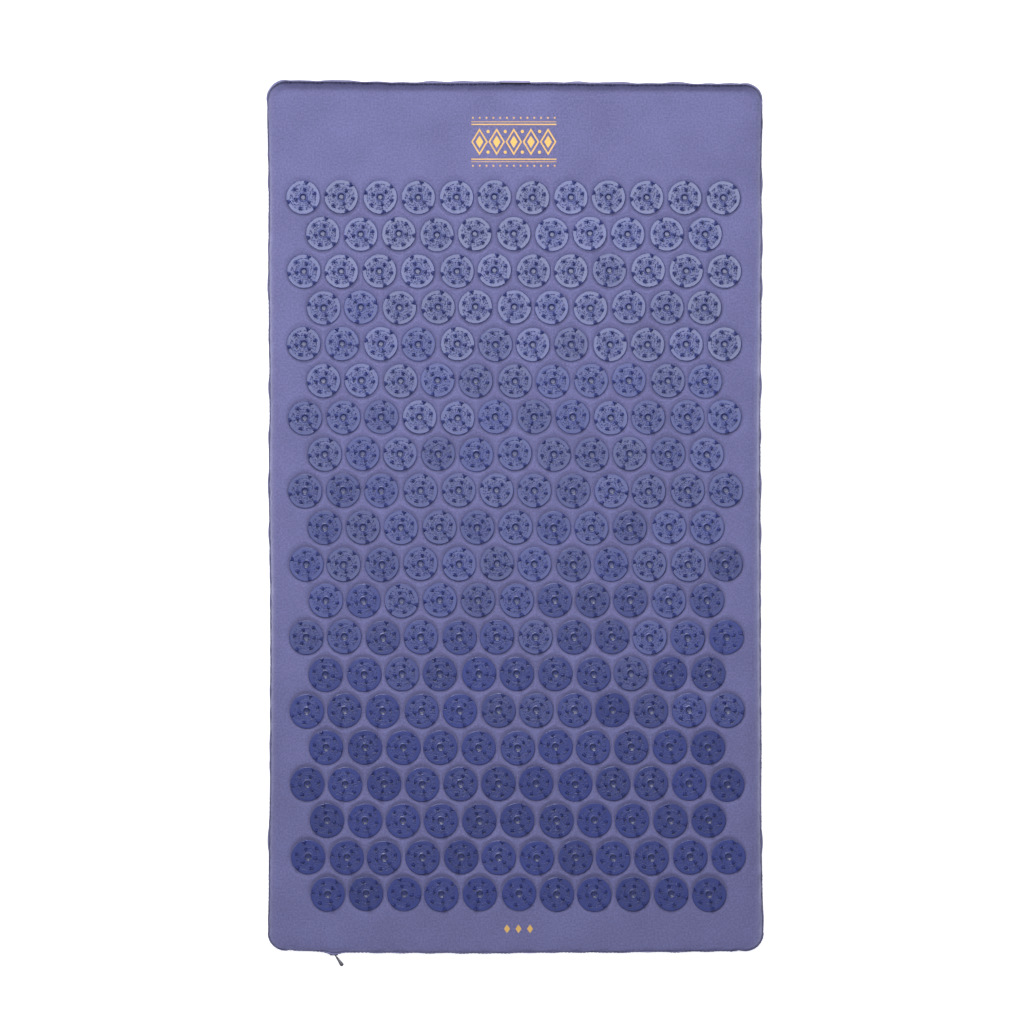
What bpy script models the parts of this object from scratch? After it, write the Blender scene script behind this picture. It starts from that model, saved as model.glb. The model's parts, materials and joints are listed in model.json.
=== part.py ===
"""Acupressure mat: a foam pad in a zipped cotton cover that carries rows of spiked plastic discs.

Metres, +Z up. The origin is the middle of the underside, +Y is the head end and the zip
closes the foot end. Run with: blender --background --python part.py
"""

import math
import random

import bmesh
import bpy
from mathutils import Vector
from mathutils.geometry import tessellate_polygon

# Clearance between pieces that touch, and how far welded solids reach into each other
FIT_GAP = 0.0003
WELD_OVERLAP = 0.0003

# Cover
COVER_WIDTH = 0.420
COVER_LENGTH = 0.742
COVER_HEIGHT = 0.024
CORNER_RADIUS = 0.018
CLOTH_THICKNESS = 0.0007
SIDE_DRAW_IN = 0.0012
BAND_BULGE = 0.0035
BAND_ROUNDNESS = 3
BOTTOM_SEAM_HEIGHT = 0.0030
SHOULDER_DROP = 0.0035
SHOULDER_WIDTH = 0.0095
UNDERSIDE_TURN = 0.0040
BAND_RING_SHARES = (1, 0.72, 0, -0.72, -1)
SHOULDER_SHARES = ((1, 1), (0.52, 0.86), (0.18, 0.46), (0, 0))
TURN_SHARES = ((0, 1), (0.45, 0.25), (1, 0))
SIDE_SHARES = (0.25, 0.5, 0.75)
CORNER_STEPS = 6

# Foam pad
FOAM_SIDE_MARGIN = 0.0055
FOAM_FOOT_MARGIN = 0.0066
FOAM_EDGE_WIDTH = 0.0065
FOAM_EDGE_RISE = 0.0035
FOAM_CORNER_STEPS = 2

# Discs
DISC_PITCH = 0.0325
ROW_PITCH = 0.0312
HEAD_MARGIN = 0.0994
FOOT_MARGIN = 0.0480
SIDE_MARGIN = 0.0285
FIRST_ROW_ASIDE = 0.0015
ROW_DRIFT = 0.00023
DISC_RADIUS = 0.0146
DISC_THICKNESS = 0.0013
LINK_WIDTH = 0.0020
SPIKES_PER_RING = 3
SPIKE_HEIGHT = 0.0042
RIM_SPIKE_WIDTH = 0.0046
RIM_SPIKE_DEPTH = 0.0038
RIM_SPIKE_TIP_INSET = 0.0014
MID_SPIKE_RADIUS = 0.0100
INNER_SPIKE_RADIUS = 0.0064
SPIKE_BASE_RADIUS = 0.0022
DISC_TURN_WEIGHTS = (2, 5, 4, 1)
DISC_TURN_SEED = 11

# Zip
ZIP_END_MARGIN = 0.0504
ZIP_WINDOW_HEIGHT = 0.0078
COIL_THICKNESS = 0.0015
COIL_WIDTH = 0.0017
COIL_INSET = 0.0005
COIL_SEPARATION = 0.0012
TAPE_THICKNESS = 0.0004
TAPE_END_MARGIN = 0.0040
TAPE_EDGE_OFFSET = 0.0003
STOP_LENGTH = 0.0024
STOP_WALL = 0.0006

# Slider
SLIDER_LENGTH = 0.0095
SLIDER_HEIGHT = 0.0064
SLIDER_TAIL_HEIGHT = 0.0050
SLIDER_PLATE = 0.0010
SLIDER_POST_LENGTH = 0.0030
BRIDGE_LENGTH = 0.0080
BRIDGE_WIDTH = 0.0016
BRIDGE_BAR = 0.0008
BRIDGE_CLEARANCE = 0.0020
BRIDGE_SLOPE = 0.0006

# Pull
PULL_ANGLE = math.radians(-55)
PULL_REACH = 0.0132
PULL_FRAME_WIDTH = 0.0040
PULL_FRAME_THICKNESS = 0.0009
PULL_BAR = 0.0010
PULL_WINDOW_LENGTH = 0.0045
PULL_WINDOW_WIDTH = 0.0024
PULL_NECK_RADIUS = 0.0010
PULL_END_RADIUS = 0.0017
PULL_SIDES = 12
PULL_PROFILE_SHARES = ((0, 1, 0), (0.55, 0.35, 0.65), (0.82, 0, 1), (0.95, 0, 0.75), (1, 0, 0.35))

# Label
LABEL_WIDTH = 0.0256
LABEL_THICKNESS = 0.0006
LABEL_HEIGHT_SHARES = (0.93, 0.72, 0, -0.15)

# Places that follow from the sizes above
TOP_SEAM_HEIGHT = COVER_HEIGHT - SHOULDER_DROP
SEAM_MIDDLE = (TOP_SEAM_HEIGHT + BOTTOM_SEAM_HEIGHT) / 2
BAND_HALF_HEIGHT = (TOP_SEAM_HEIGHT - BOTTOM_SEAM_HEIGHT) / 2 - FIT_GAP
FOOT_FACE = COVER_LENGTH / 2
DISC_SEAT = COVER_HEIGHT + FIT_GAP
DISC_TOP = DISC_SEAT + DISC_THICKNESS
ROW_COUNT = 1 + int((COVER_LENGTH - HEAD_MARGIN - FOOT_MARGIN) / ROW_PITCH)
LONG_ROW_DISCS = 1 + int((COVER_WIDTH - 2 * SIDE_MARGIN) / DISC_PITCH)
ZIP_HALF_LENGTH = COVER_WIDTH / 2 - ZIP_END_MARGIN
SLIDER_CENTRE = -(ZIP_HALF_LENGTH - FIT_GAP - SLIDER_LENGTH / 2)
TAPE_INSET = COIL_INSET + COIL_THICKNESS + FIT_GAP
SLIDER_FACE = COIL_INSET - FIT_GAP - SLIDER_PLATE
PULL_PIVOT_Y = -(FOOT_FACE - SLIDER_FACE + BRIDGE_CLEARANCE / 2)


def clear_scene():
    """Remove what the file already holds."""
    for obj in list(bpy.data.objects):
        bpy.data.objects.remove(obj, do_unlink=True)
    for collection in list(bpy.data.collections):
        bpy.data.collections.remove(collection)


def new_collection(name):
    """Make a collection in the scene and return it."""
    collection = bpy.data.collections.new(name)
    bpy.context.scene.collection.children.link(collection)
    return collection


def new_material(name, colour, roughness, metallic=0.0):
    """Make a Principled material."""
    material = bpy.data.materials.new(name)
    material.use_nodes = True
    shader = material.node_tree.nodes["Principled BSDF"]
    shader.inputs["Base Color"].default_value = (*colour, 1.0)
    shader.inputs["Roughness"].default_value = roughness
    shader.inputs["Metallic"].default_value = metallic
    material.diffuse_color = (*colour, 1.0)
    return material


def new_object(name, bm, collection, location=(0, 0, 0)):
    """Turn a bmesh into a named object."""
    mesh = bpy.data.meshes.new(name)
    bm.to_mesh(mesh)
    bm.free()
    obj = bpy.data.objects.new(name, mesh)
    obj.location = location
    collection.objects.link(obj)
    return obj


def hide_as_tool(obj):
    """Mark an object as one that only shapes others."""
    obj.hide_render = True
    obj.display_type = "WIRE"


def solidify(obj, thickness):
    """Give an open surface its thickness on the inner side."""
    modifier = obj.modifiers.new("Cloth", "SOLIDIFY")
    modifier.thickness = thickness
    modifier.offset = -1
    modifier.use_even_offset = True


def boolean(obj, tool, operation):
    """Join a tool to an object, or cut it away."""
    modifier = obj.modifiers.new(tool.name, "BOOLEAN")
    modifier.operation = operation
    modifier.solver = "EXACT"
    modifier.object = tool


def add_box(bm, low, high):
    """Add a box between two corners."""
    size = [b - a for a, b in zip(low, high)]
    middle = [(a + b) / 2 for a, b in zip(low, high)]
    verts = bmesh.ops.create_cube(bm, size=1)["verts"]
    bmesh.ops.scale(bm, vec=size, verts=verts)
    bmesh.ops.translate(bm, vec=middle, verts=verts)


def box_object(name, low, high, collection):
    """Make a box between two corners as an object."""
    bm = bmesh.new()
    add_box(bm, low, high)
    return new_object(name, bm, collection)


def prism_object(name, outline, low, high, axis, collection):
    """Extrude a flat outline along the Y or Z axis and return it as an object."""
    bm = bmesh.new()
    if axis == "Y":
        verts = [bm.verts.new((a, low, b)) for a, b in outline]
        step = (0, high - low, 0)
    else:
        verts = [bm.verts.new((a, b, low)) for a, b in outline]
        step = (0, 0, high - low)
    face = bm.faces.new(verts)
    grown = bmesh.ops.extrude_face_region(bm, geom=[face])["geom"]
    moved = [item for item in grown if isinstance(item, bmesh.types.BMVert)]
    bmesh.ops.translate(bm, vec=step, verts=moved)
    bmesh.ops.recalc_face_normals(bm, faces=bm.faces)
    return new_object(name, bm, collection)


def add_loft(bm, rings, closed=True, cap_first=False, cap_last=False):
    """Skin rings of points that run clockwise seen from above, from the top ring down."""
    loops = [[bm.verts.new(point) for point in ring] for ring in rings]
    count = len(loops[0])
    spans = count if closed else count - 1
    for upper, lower in zip(loops, loops[1:]):
        for i in range(spans):
            j = (i + 1) % count
            bm.faces.new((upper[i], upper[j], lower[j], lower[i]))
    if cap_first:
        bm.faces.new(reversed(loops[0]))
    if cap_last:
        bm.faces.new(loops[-1])


def band_inset(share):
    """How far the side band lies inside the mat's outline at a share of its half height."""
    return BAND_BULGE * abs(share) ** BAND_ROUNDNESS


def band_share(height):
    """The share of the band's half height that a height stands for."""
    return (height - SEAM_MIDDLE) / BAND_HALF_HEIGHT


def rounded_outline(half_width, head, foot, radius, steps, draw_in):
    """Points of a rounded rectangle, from the left foot corner clockwise to the right one."""
    centre_x = half_width - radius
    corners = (
        (-centre_x, foot + radius, 270),
        (-centre_x, head - radius, 180),
        (centre_x, head - radius, 90),
        (centre_x, foot + radius, 0),
    )
    points = []
    for number, (x, y, start) in enumerate(corners):
        for step in range(steps + 1):
            angle = math.radians(start - 90 * step / steps)
            points.append((x + radius * math.cos(angle), y + radius * math.sin(angle)))
        if draw_in and number in (0, 2):
            next_y = corners[number + 1][1]
            side = math.copysign(half_width, x)
            for share in SIDE_SHARES:
                pull = math.copysign(draw_in * 4 * share * (1 - share), x)
                points.append((side - pull, y + (next_y - y) * share))
    return points


def cover_ring(inset, height):
    """One ring of the cover's surface, at an inset from its widest outline."""
    flat = rounded_outline(
        COVER_WIDTH / 2 - inset,
        COVER_LENGTH / 2 - inset,
        inset - COVER_LENGTH / 2,
        CORNER_RADIUS - inset,
        CORNER_STEPS,
        SIDE_DRAW_IN,
    )
    return [(x, y, height) for x, y in flat]


def make_foam(collection):
    """The pad: a slab of foam with eased edges, short of the zip at the foot end."""
    bottom = CLOTH_THICKNESS + FIT_GAP
    top = COVER_HEIGHT - CLOTH_THICKNESS - FIT_GAP
    rings = []
    for inset, height in (
        (FOAM_EDGE_WIDTH, top),
        (0, top - FOAM_EDGE_RISE),
        (0, bottom + FOAM_EDGE_RISE),
        (FOAM_EDGE_WIDTH, bottom),
    ):
        flat = rounded_outline(
            COVER_WIDTH / 2 - FOAM_SIDE_MARGIN - inset,
            COVER_LENGTH / 2 - FOAM_SIDE_MARGIN - inset,
            inset + FOAM_FOOT_MARGIN - COVER_LENGTH / 2,
            CORNER_RADIUS - FOAM_SIDE_MARGIN - inset,
            FOAM_CORNER_STEPS,
            SIDE_DRAW_IN,
        )
        rings.append([(x, y, height) for x, y in flat])
    bm = bmesh.new()
    add_loft(bm, rings, cap_first=True, cap_last=True)
    return new_object("foam_pad", bm, collection)


def make_top_panel(collection):
    """The cover's top: flat under the discs, with a rounded shoulder down to its seam."""
    rings = [
        cover_ring(BAND_BULGE + SHOULDER_WIDTH * across, TOP_SEAM_HEIGHT + SHOULDER_DROP * up)
        for across, up in SHOULDER_SHARES
    ]
    bm = bmesh.new()
    add_loft(bm, rings, cap_first=True)
    panel = new_object("cover_top_panel", bm, collection)
    solidify(panel, CLOTH_THICKNESS)
    return panel


def make_bottom_panel(collection):
    """The cover's underside: flat on the floor and turned up to its seam."""
    rings = [
        cover_ring(BAND_BULGE + UNDERSIDE_TURN * across, BOTTOM_SEAM_HEIGHT * up)
        for across, up in TURN_SHARES
    ]
    bm = bmesh.new()
    add_loft(bm, rings, cap_last=True)
    panel = new_object("cover_bottom_panel", bm, collection)
    solidify(panel, CLOTH_THICKNESS)
    return panel


def make_side_band(collection):
    """The band round the left side, the head end and the right side, bulging between its seams."""
    rings = [
        cover_ring(band_inset(share), SEAM_MIDDLE + BAND_HALF_HEIGHT * share)
        for share in BAND_RING_SHARES
    ]
    bm = bmesh.new()
    add_loft(bm, rings, closed=False)
    band = new_object("side_band", bm, collection)
    solidify(band, CLOTH_THICKNESS)
    return band


def make_foot_band(name, shares, collection):
    """One strip of the foot end's band, above or below the zip."""
    reach = COVER_WIDTH / 2 - CORNER_RADIUS - FIT_GAP
    rings = []
    for share in shares:
        y = band_inset(share) - FOOT_FACE
        height = SEAM_MIDDLE + BAND_HALF_HEIGHT * share
        rings.append([(reach, y, height), (-reach, y, height)])
    bm = bmesh.new()
    add_loft(bm, rings, closed=False)
    strip = new_object(name, bm, collection)
    solidify(strip, CLOTH_THICKNESS)
    return strip


def make_label(collection):
    """A blank ribbon label that hangs from the top seam at the head end."""
    rings = []
    for share in LABEL_HEIGHT_SHARES:
        y = COVER_LENGTH / 2 - band_inset(share) + FIT_GAP + LABEL_THICKNESS
        height = SEAM_MIDDLE + BAND_HALF_HEIGHT * share
        rings.append([(-LABEL_WIDTH / 2, y, height), (LABEL_WIDTH / 2, y, height)])
    bm = bmesh.new()
    add_loft(bm, rings, closed=False)
    label = new_object("side_label", bm, collection)
    solidify(label, LABEL_THICKNESS)
    return label


def tape_reach():
    """How far from the zip's middle a tape runs before the band's folded edge closes in on it."""
    share = ((TAPE_INSET - 2 * CLOTH_THICKNESS) / BAND_BULGE) ** (1 / BAND_ROUNDNESS)
    return BAND_HALF_HEIGHT * share


def make_zip_half(side, coil_name, tape_name, collection):
    """One tape of the zip and the coil on it, above (side 1) or below (side -1) the middle."""
    coil_near = SEAM_MIDDLE + side * COIL_SEPARATION / 2
    coil_far = coil_near + side * COIL_WIDTH
    coil_y = COIL_INSET - FOOT_FACE
    coil = box_object(
        coil_name,
        (-ZIP_HALF_LENGTH, coil_y, min(coil_near, coil_far)),
        (ZIP_HALF_LENGTH, coil_y + COIL_THICKNESS, max(coil_near, coil_far)),
        collection,
    )
    tape_near = coil_near + side * TAPE_EDGE_OFFSET
    tape_far = SEAM_MIDDLE + side * tape_reach()
    tape_y = TAPE_INSET - FOOT_FACE
    tape_end = COVER_WIDTH / 2 - CORNER_RADIUS - TAPE_END_MARGIN
    tape = box_object(
        tape_name,
        (-tape_end, tape_y, min(tape_near, tape_far)),
        (tape_end, tape_y + TAPE_THICKNESS, max(tape_near, tape_far)),
        collection,
    )
    return coil, tape


def make_stop(name, side, collection):
    """The metal stop that closes one end of the zip, just past the coils."""
    near = side * (ZIP_HALF_LENGTH + FIT_GAP)
    far = near + side * STOP_LENGTH
    half_height = COIL_SEPARATION / 2 + COIL_WIDTH + STOP_WALL
    return box_object(
        name,
        (min(near, far), COIL_INSET - STOP_WALL - FOOT_FACE, SEAM_MIDDLE - half_height),
        (max(near, far), TAPE_INSET - FIT_GAP - FOOT_FACE, SEAM_MIDDLE + half_height),
        collection,
    )


def slider_outline():
    """A slider plate seen from the foot end: broad at its mouth on the left, narrow at its tail."""
    half = SLIDER_LENGTH / 2
    mouth = SLIDER_HEIGHT / 2
    tail = SLIDER_TAIL_HEIGHT / 2
    ease = mouth - tail
    return [
        (half, -tail + ease),
        (half, tail - ease),
        (half - ease, tail),
        (-half + ease, mouth),
        (-half, tail),
        (-half, -tail),
        (-half + ease, -mouth),
        (half - ease, -tail),
    ]


def make_slider(collection, tools):
    """The slider: two plates joined by a post between the coils, and a bridge for the pull."""
    plate = slider_outline()
    face = SLIDER_FACE
    front = prism_object("zip_slider", plate, face, face + SLIDER_PLATE, "Y", collection)
    back_face = TAPE_INSET + TAPE_THICKNESS + FIT_GAP
    back = prism_object("slider_back", plate, back_face, back_face + SLIDER_PLATE, "Y", tools)
    post_half = COIL_SEPARATION / 2 - FIT_GAP
    post_start = SLIDER_HEIGHT / 2 - SLIDER_TAIL_HEIGHT / 2 - SLIDER_LENGTH / 2
    post = box_object(
        "slider_post",
        (post_start, face + WELD_OVERLAP, -post_half),
        (post_start + SLIDER_POST_LENGTH, back_face + WELD_OVERLAP, post_half),
        tools,
    )
    foot = BRIDGE_LENGTH / 2
    inner_y = face - BRIDGE_CLEARANCE
    outer_y = inner_y - BRIDGE_BAR
    arch = [
        (-foot, face + WELD_OVERLAP),
        (-foot + BRIDGE_SLOPE, outer_y),
        (foot - BRIDGE_SLOPE, outer_y),
        (foot, face + WELD_OVERLAP),
        (foot - BRIDGE_BAR, face + WELD_OVERLAP),
        (foot - BRIDGE_BAR - BRIDGE_SLOPE, inner_y),
        (BRIDGE_BAR + BRIDGE_SLOPE - foot, inner_y),
        (BRIDGE_BAR - foot, face + WELD_OVERLAP),
    ]
    bridge = prism_object(
        "slider_bridge", arch, -BRIDGE_WIDTH / 2, BRIDGE_WIDTH / 2, "Z", tools
    )
    place = (SLIDER_CENTRE, -FOOT_FACE, SEAM_MIDDLE)
    front.location = place
    for tool in (post, back, bridge):
        tool.location = place
        hide_as_tool(tool)
        boolean(front, tool, "UNION")
    return front


def make_pull(collection, tools):
    """The pull: an eye round the slider's bridge and a drop-shaped tab, turned about the eye's bar."""
    frame_end = PULL_BAR / 2 + PULL_WINDOW_LENGTH + PULL_BAR
    half_thickness = PULL_FRAME_THICKNESS / 2
    pull = box_object(
        "zip_pull",
        (-PULL_BAR / 2, -half_thickness, -PULL_FRAME_WIDTH / 2),
        (frame_end, half_thickness, PULL_FRAME_WIDTH / 2),
        collection,
    )
    window = box_object(
        "pull_window",
        (PULL_BAR / 2, -PULL_FRAME_THICKNESS, -PULL_WINDOW_WIDTH / 2),
        (PULL_BAR / 2 + PULL_WINDOW_LENGTH, PULL_FRAME_THICKNESS, PULL_WINDOW_WIDTH / 2),
        tools,
    )
    start = frame_end - WELD_OVERLAP
    rings = []
    for along, neck, end in PULL_PROFILE_SHARES:
        radius = PULL_NECK_RADIUS * neck + PULL_END_RADIUS * end
        x = start + (PULL_REACH - start) * along
        ring = []
        for step in range(PULL_SIDES):
            angle = math.tau * step / PULL_SIDES
            ring.append((x, radius * math.cos(angle), radius * math.sin(angle)))
        rings.append(ring)
    bm = bmesh.new()
    add_loft(bm, rings, cap_first=True, cap_last=True)
    bmesh.ops.recalc_face_normals(bm, faces=bm.faces)
    tab = new_object("pull_tab", bm, tools)
    for obj in (pull, window, tab):
        obj.location = (SLIDER_CENTRE, PULL_PIVOT_Y, SEAM_MIDDLE)
        obj.rotation_euler = (0, 0, PULL_ANGLE)
    hide_as_tool(window)
    hide_as_tool(tab)
    boolean(pull, window, "DIFFERENCE")
    boolean(pull, tab, "UNION")
    return pull


def polar(centre, radius, angle, height):
    """A point at a radius and an angle from a centre."""
    return Vector((centre.x + radius * math.cos(angle), centre.y + radius * math.sin(angle), height))


def rim_angles():
    """Angles of the disc's corners: a narrow side at each rim spike, wide sides between them."""
    third = math.tau / SPIKES_PER_RING
    narrow = 2 * math.atan2(RIM_SPIKE_WIDTH / 2, DISC_RADIUS)
    wide = (third - narrow) / SPIKES_PER_RING
    angles = []
    for number in range(SPIKES_PER_RING):
        start = third * number + narrow / 2
        angles += [start + wide * step for step in range(SPIKES_PER_RING + 1)]
    return angles


def disc_turn(number):
    """The turn that brings one rim corner, and the corner opposite it, nearest to the row's line."""
    angles = rim_angles()
    corner = angles[number]
    skews = [math.remainder(angle - corner - math.pi, math.tau) for angle in angles]
    return -corner - min(skews, key=abs) / 2


def seat_angles():
    """Angles of the seat's corners, with a narrow side for the link at each end of the row."""
    half = math.atan2(LINK_WIDTH / 2, DISC_RADIUS)
    sixth = math.tau / 6
    right = [-half, half, sixth, 2 * sixth]
    return right + [angle + math.pi for angle in right]


def add_spike(bm, base, tip):
    """Close a three-cornered base with three faces that meet in a tip."""
    point = bm.verts.new(tip)
    for start, end in zip(base, base[1:] + base[:1]):
        bm.faces.new((start, end, point))


def add_disc(bm, centre, turn):
    """One spiked disc. Returns the corners of its two faces that a link can join."""
    rim = [bm.verts.new(polar(centre, DISC_RADIUS, turn + a, DISC_TOP)) for a in rim_angles()]
    seat = [bm.verts.new(polar(centre, DISC_RADIUS, a, DISC_SEAT)) for a in seat_angles()]
    hull = bmesh.ops.convex_hull(bm, input=rim + seat)["geom"]
    lids = [
        item
        for item in hull
        if isinstance(item, bmesh.types.BMFace) and all(vert in rim for vert in item.verts)
    ]
    bmesh.ops.delete(bm, geom=lids, context="FACES")

    third = math.tau / SPIKES_PER_RING
    edge = []
    holes = []
    for number in range(SPIKES_PER_RING):
        start = number * (SPIKES_PER_RING + 1)
        corners = rim[start : start + SPIKES_PER_RING + 1]
        far = rim[(start + SPIKES_PER_RING + 1) % len(rim)]
        spike_angle = turn + third * (number + 1)
        root = bm.verts.new(
            polar(centre, DISC_RADIUS - RIM_SPIKE_DEPTH, spike_angle, DISC_TOP)
        )
        tip = polar(centre, DISC_RADIUS - RIM_SPIKE_TIP_INSET, spike_angle, DISC_TOP + SPIKE_HEIGHT)
        add_spike(bm, [corners[-1], far, root], tip)
        edge += corners + [root]

        between = spike_angle + third / 2
        for reach, angle in ((MID_SPIKE_RADIUS, between), (INNER_SPIKE_RADIUS, spike_angle)):
            middle = polar(centre, reach, angle, DISC_TOP)
            inward = angle + math.pi
            base = [
                bm.verts.new(polar(middle, SPIKE_BASE_RADIUS, inward + third * corner, DISC_TOP))
                for corner in range(SPIKES_PER_RING)
            ]
            add_spike(bm, base, middle + Vector((0, 0, SPIKE_HEIGHT)))
            holes.append(base)

    loops = [edge] + holes
    corners = [vert for loop in loops for vert in loop]
    for triangle in tessellate_polygon([[vert.co for vert in loop] for loop in loops]):
        bm.faces.new([corners[index] for index in triangle])
    return link_face(seat[:2], rim), link_face(seat[4:6][::-1], rim)


def link_face(seat_pair, rim):
    """Take out the wall face over two seat corners and return its three corners."""
    face = next(
        face
        for face in seat_pair[0].link_faces
        if seat_pair[1] in face.verts and any(vert in rim for vert in face.verts)
    )
    top = next(vert for vert in face.verts if vert in rim)
    return [seat_pair[0], seat_pair[1], top], face


def disc_places():
    """The disc centres of each row, from the head end down, each row a little to the right of the last."""
    rows = []
    for number in range(ROW_COUNT):
        count = LONG_ROW_DISCS - number % 2
        y = COVER_LENGTH / 2 - HEAD_MARGIN - number * ROW_PITCH
        middle = number * ROW_DRIFT - FIRST_ROW_ASIDE
        first = middle - (count - 1) * DISC_PITCH / 2
        rows.append([Vector((first + i * DISC_PITCH, y, 0)) for i in range(count)])
    return rows


def make_disc_row(name, places, turns, collection):
    """One row of spiked discs, held together by narrow links that lie on the cloth."""
    bm = bmesh.new()
    corners = turns.choices(
        range(len(rim_angles())), weights=DISC_TURN_WEIGHTS * SPIKES_PER_RING, k=len(places)
    )
    ends = [add_disc(bm, place, disc_turn(corner)) for place, corner in zip(places, corners)]
    for (right, _), (_, left) in zip(ends, ends[1:]):
        near, near_face = right
        far, far_face = left
        bmesh.ops.delete(bm, geom=[near_face, far_face], context="FACES_ONLY")
        for i in range(3):
            j = (i + 1) % 3
            bm.faces.new((near[i], near[j], far[j], far[i]))
    bmesh.ops.recalc_face_normals(bm, faces=bm.faces)
    return new_object(name, bm, collection)


def dress(objects, material):
    """Give each object the same material settings under a material of its own."""
    for obj in objects:
        own = material.copy()
        own.name = obj.name + "_finish"
        obj.data.materials.append(own)


def shade_round(obj):
    """Shade a round piece smooth and keep its hard edges."""
    obj.data.shade_smooth()
    obj.data.set_sharp_from_angle(angle=math.radians(40))


def main():
    clear_scene()
    parts = new_collection("acupressure_mat")
    tools = new_collection("cutters")

    cotton = new_material("lavender_cotton", (0.195, 0.188, 0.402), 0.9)
    foam_stuff = new_material("cream_foam", (0.78, 0.74, 0.62), 0.95)
    disc_plastic = new_material("navy_plastic", (0.045, 0.058, 0.19), 0.25)
    tape_cloth = new_material("zip_tape_weave", (0.16, 0.15, 0.34), 0.85)
    coil_plastic = new_material("zip_coil_plastic", (0.13, 0.12, 0.29), 0.4)
    dark_metal = new_material("dark_metal", (0.10, 0.095, 0.12), 0.35, 1.0)
    ribbon = new_material("label_ribbon", (0.62, 0.61, 0.66), 0.8)

    foam = make_foam(parts)
    top = make_top_panel(parts)
    bottom = make_bottom_panel(parts)
    band = make_side_band(parts)
    window = band_share(SEAM_MIDDLE + ZIP_WINDOW_HEIGHT / 2)
    bend = BAND_RING_SHARES[1]
    upper = make_foot_band("foot_band_upper", (1, bend, window), parts)
    lower = make_foot_band("foot_band_lower", (-window, -bend, -1), parts)
    label = make_label(parts)
    coil_upper, tape_upper = make_zip_half(1, "zip_coil_upper", "zip_tape_upper", parts)
    coil_lower, tape_lower = make_zip_half(-1, "zip_coil_lower", "zip_tape_lower", parts)
    stop_left = make_stop("zip_stop_left", -1, parts)
    stop_right = make_stop("zip_stop_right", 1, parts)
    slider = make_slider(parts, tools)
    pull = make_pull(parts, tools)
    turns = random.Random(DISC_TURN_SEED)
    rows = [
        make_disc_row(f"disc_row_{number + 1:02d}", places, turns, parts)
        for number, places in enumerate(disc_places())
    ]

    dress([top, bottom, band, upper, lower], cotton)
    dress([foam], foam_stuff)
    dress(rows, disc_plastic)
    dress([tape_upper, tape_lower], tape_cloth)
    dress([coil_upper, coil_lower], coil_plastic)
    dress([stop_left, stop_right, slider, pull], dark_metal)
    dress([label], ribbon)
    for obj in (foam, top, bottom, band, upper, lower, label, pull):
        shade_round(obj)


main()
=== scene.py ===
"""Acupressure mat: a foam pad in a zipped cotton cover that carries rows of spiked plastic discs.

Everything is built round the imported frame, in metres: +Z up, +Y the head end, the zip at the foot end.
"""

import json
import math

import bmesh
import bpy
import numpy as np
from bpy.props import FloatProperty, FloatVectorProperty, IntProperty, PointerProperty
from mathutils import Matrix, Vector, noise
from mathutils.bvhtree import BVHTree
from mathutils.geometry import tessellate_polygon

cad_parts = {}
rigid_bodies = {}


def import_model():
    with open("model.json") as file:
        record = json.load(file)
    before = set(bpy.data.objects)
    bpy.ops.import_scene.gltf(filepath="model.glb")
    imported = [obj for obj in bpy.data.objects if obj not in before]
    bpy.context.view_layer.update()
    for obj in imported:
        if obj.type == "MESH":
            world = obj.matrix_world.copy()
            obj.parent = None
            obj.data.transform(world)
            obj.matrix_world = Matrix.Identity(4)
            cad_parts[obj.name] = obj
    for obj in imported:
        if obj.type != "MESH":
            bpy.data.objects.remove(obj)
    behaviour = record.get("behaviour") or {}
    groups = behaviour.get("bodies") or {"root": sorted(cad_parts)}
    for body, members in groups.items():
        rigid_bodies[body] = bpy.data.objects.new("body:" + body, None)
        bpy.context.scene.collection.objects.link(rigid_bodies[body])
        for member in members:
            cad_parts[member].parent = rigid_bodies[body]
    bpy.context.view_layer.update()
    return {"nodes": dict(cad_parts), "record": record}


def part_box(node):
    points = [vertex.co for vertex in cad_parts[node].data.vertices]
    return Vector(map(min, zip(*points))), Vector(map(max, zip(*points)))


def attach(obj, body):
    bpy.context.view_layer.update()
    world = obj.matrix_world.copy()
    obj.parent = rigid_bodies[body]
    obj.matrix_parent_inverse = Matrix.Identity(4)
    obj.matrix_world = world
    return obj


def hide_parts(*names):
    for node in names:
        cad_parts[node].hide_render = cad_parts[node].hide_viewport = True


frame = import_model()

bl_info = {
    "name": "Acupressure mat",
    "version": (1, 0, 0),
    "blender": (4, 5, 0),
    "location": "3D View > Sidebar > Mat",
    "description": "Dresses the packed acupressure mat with its cloth, discs and zip",
    "category": "Add Mesh",
}

BODY = "mat"
TOP_LOW, TOP_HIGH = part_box("cover_top_panel")
BAND_LOW, BAND_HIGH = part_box("side_band")
UPPER_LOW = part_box("foot_band_upper")[0]
LOWER_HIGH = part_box("foot_band_lower")[1]
JOINTS = {joint["name"]: joint for joint in frame["record"]["behaviour"]["joints"]}
PULL_PIVOT = Vector(JOINTS["zip_pull_swing"]["pos_m"])
PULL_TURN = math.radians(-55)
DISC_ROWS = sorted(name for name in frame["nodes"] if name.startswith("disc_row_"))

# Distances from a panel's seam at which its rings of points lie
EDGE_STEPS = np.array(
    (0, 0.0005, 0.0012, 0.0021, 0.0032, 0.0046, 0.0064, 0.0086, 0.0112, 0.0142, 0.0176)
)
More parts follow.
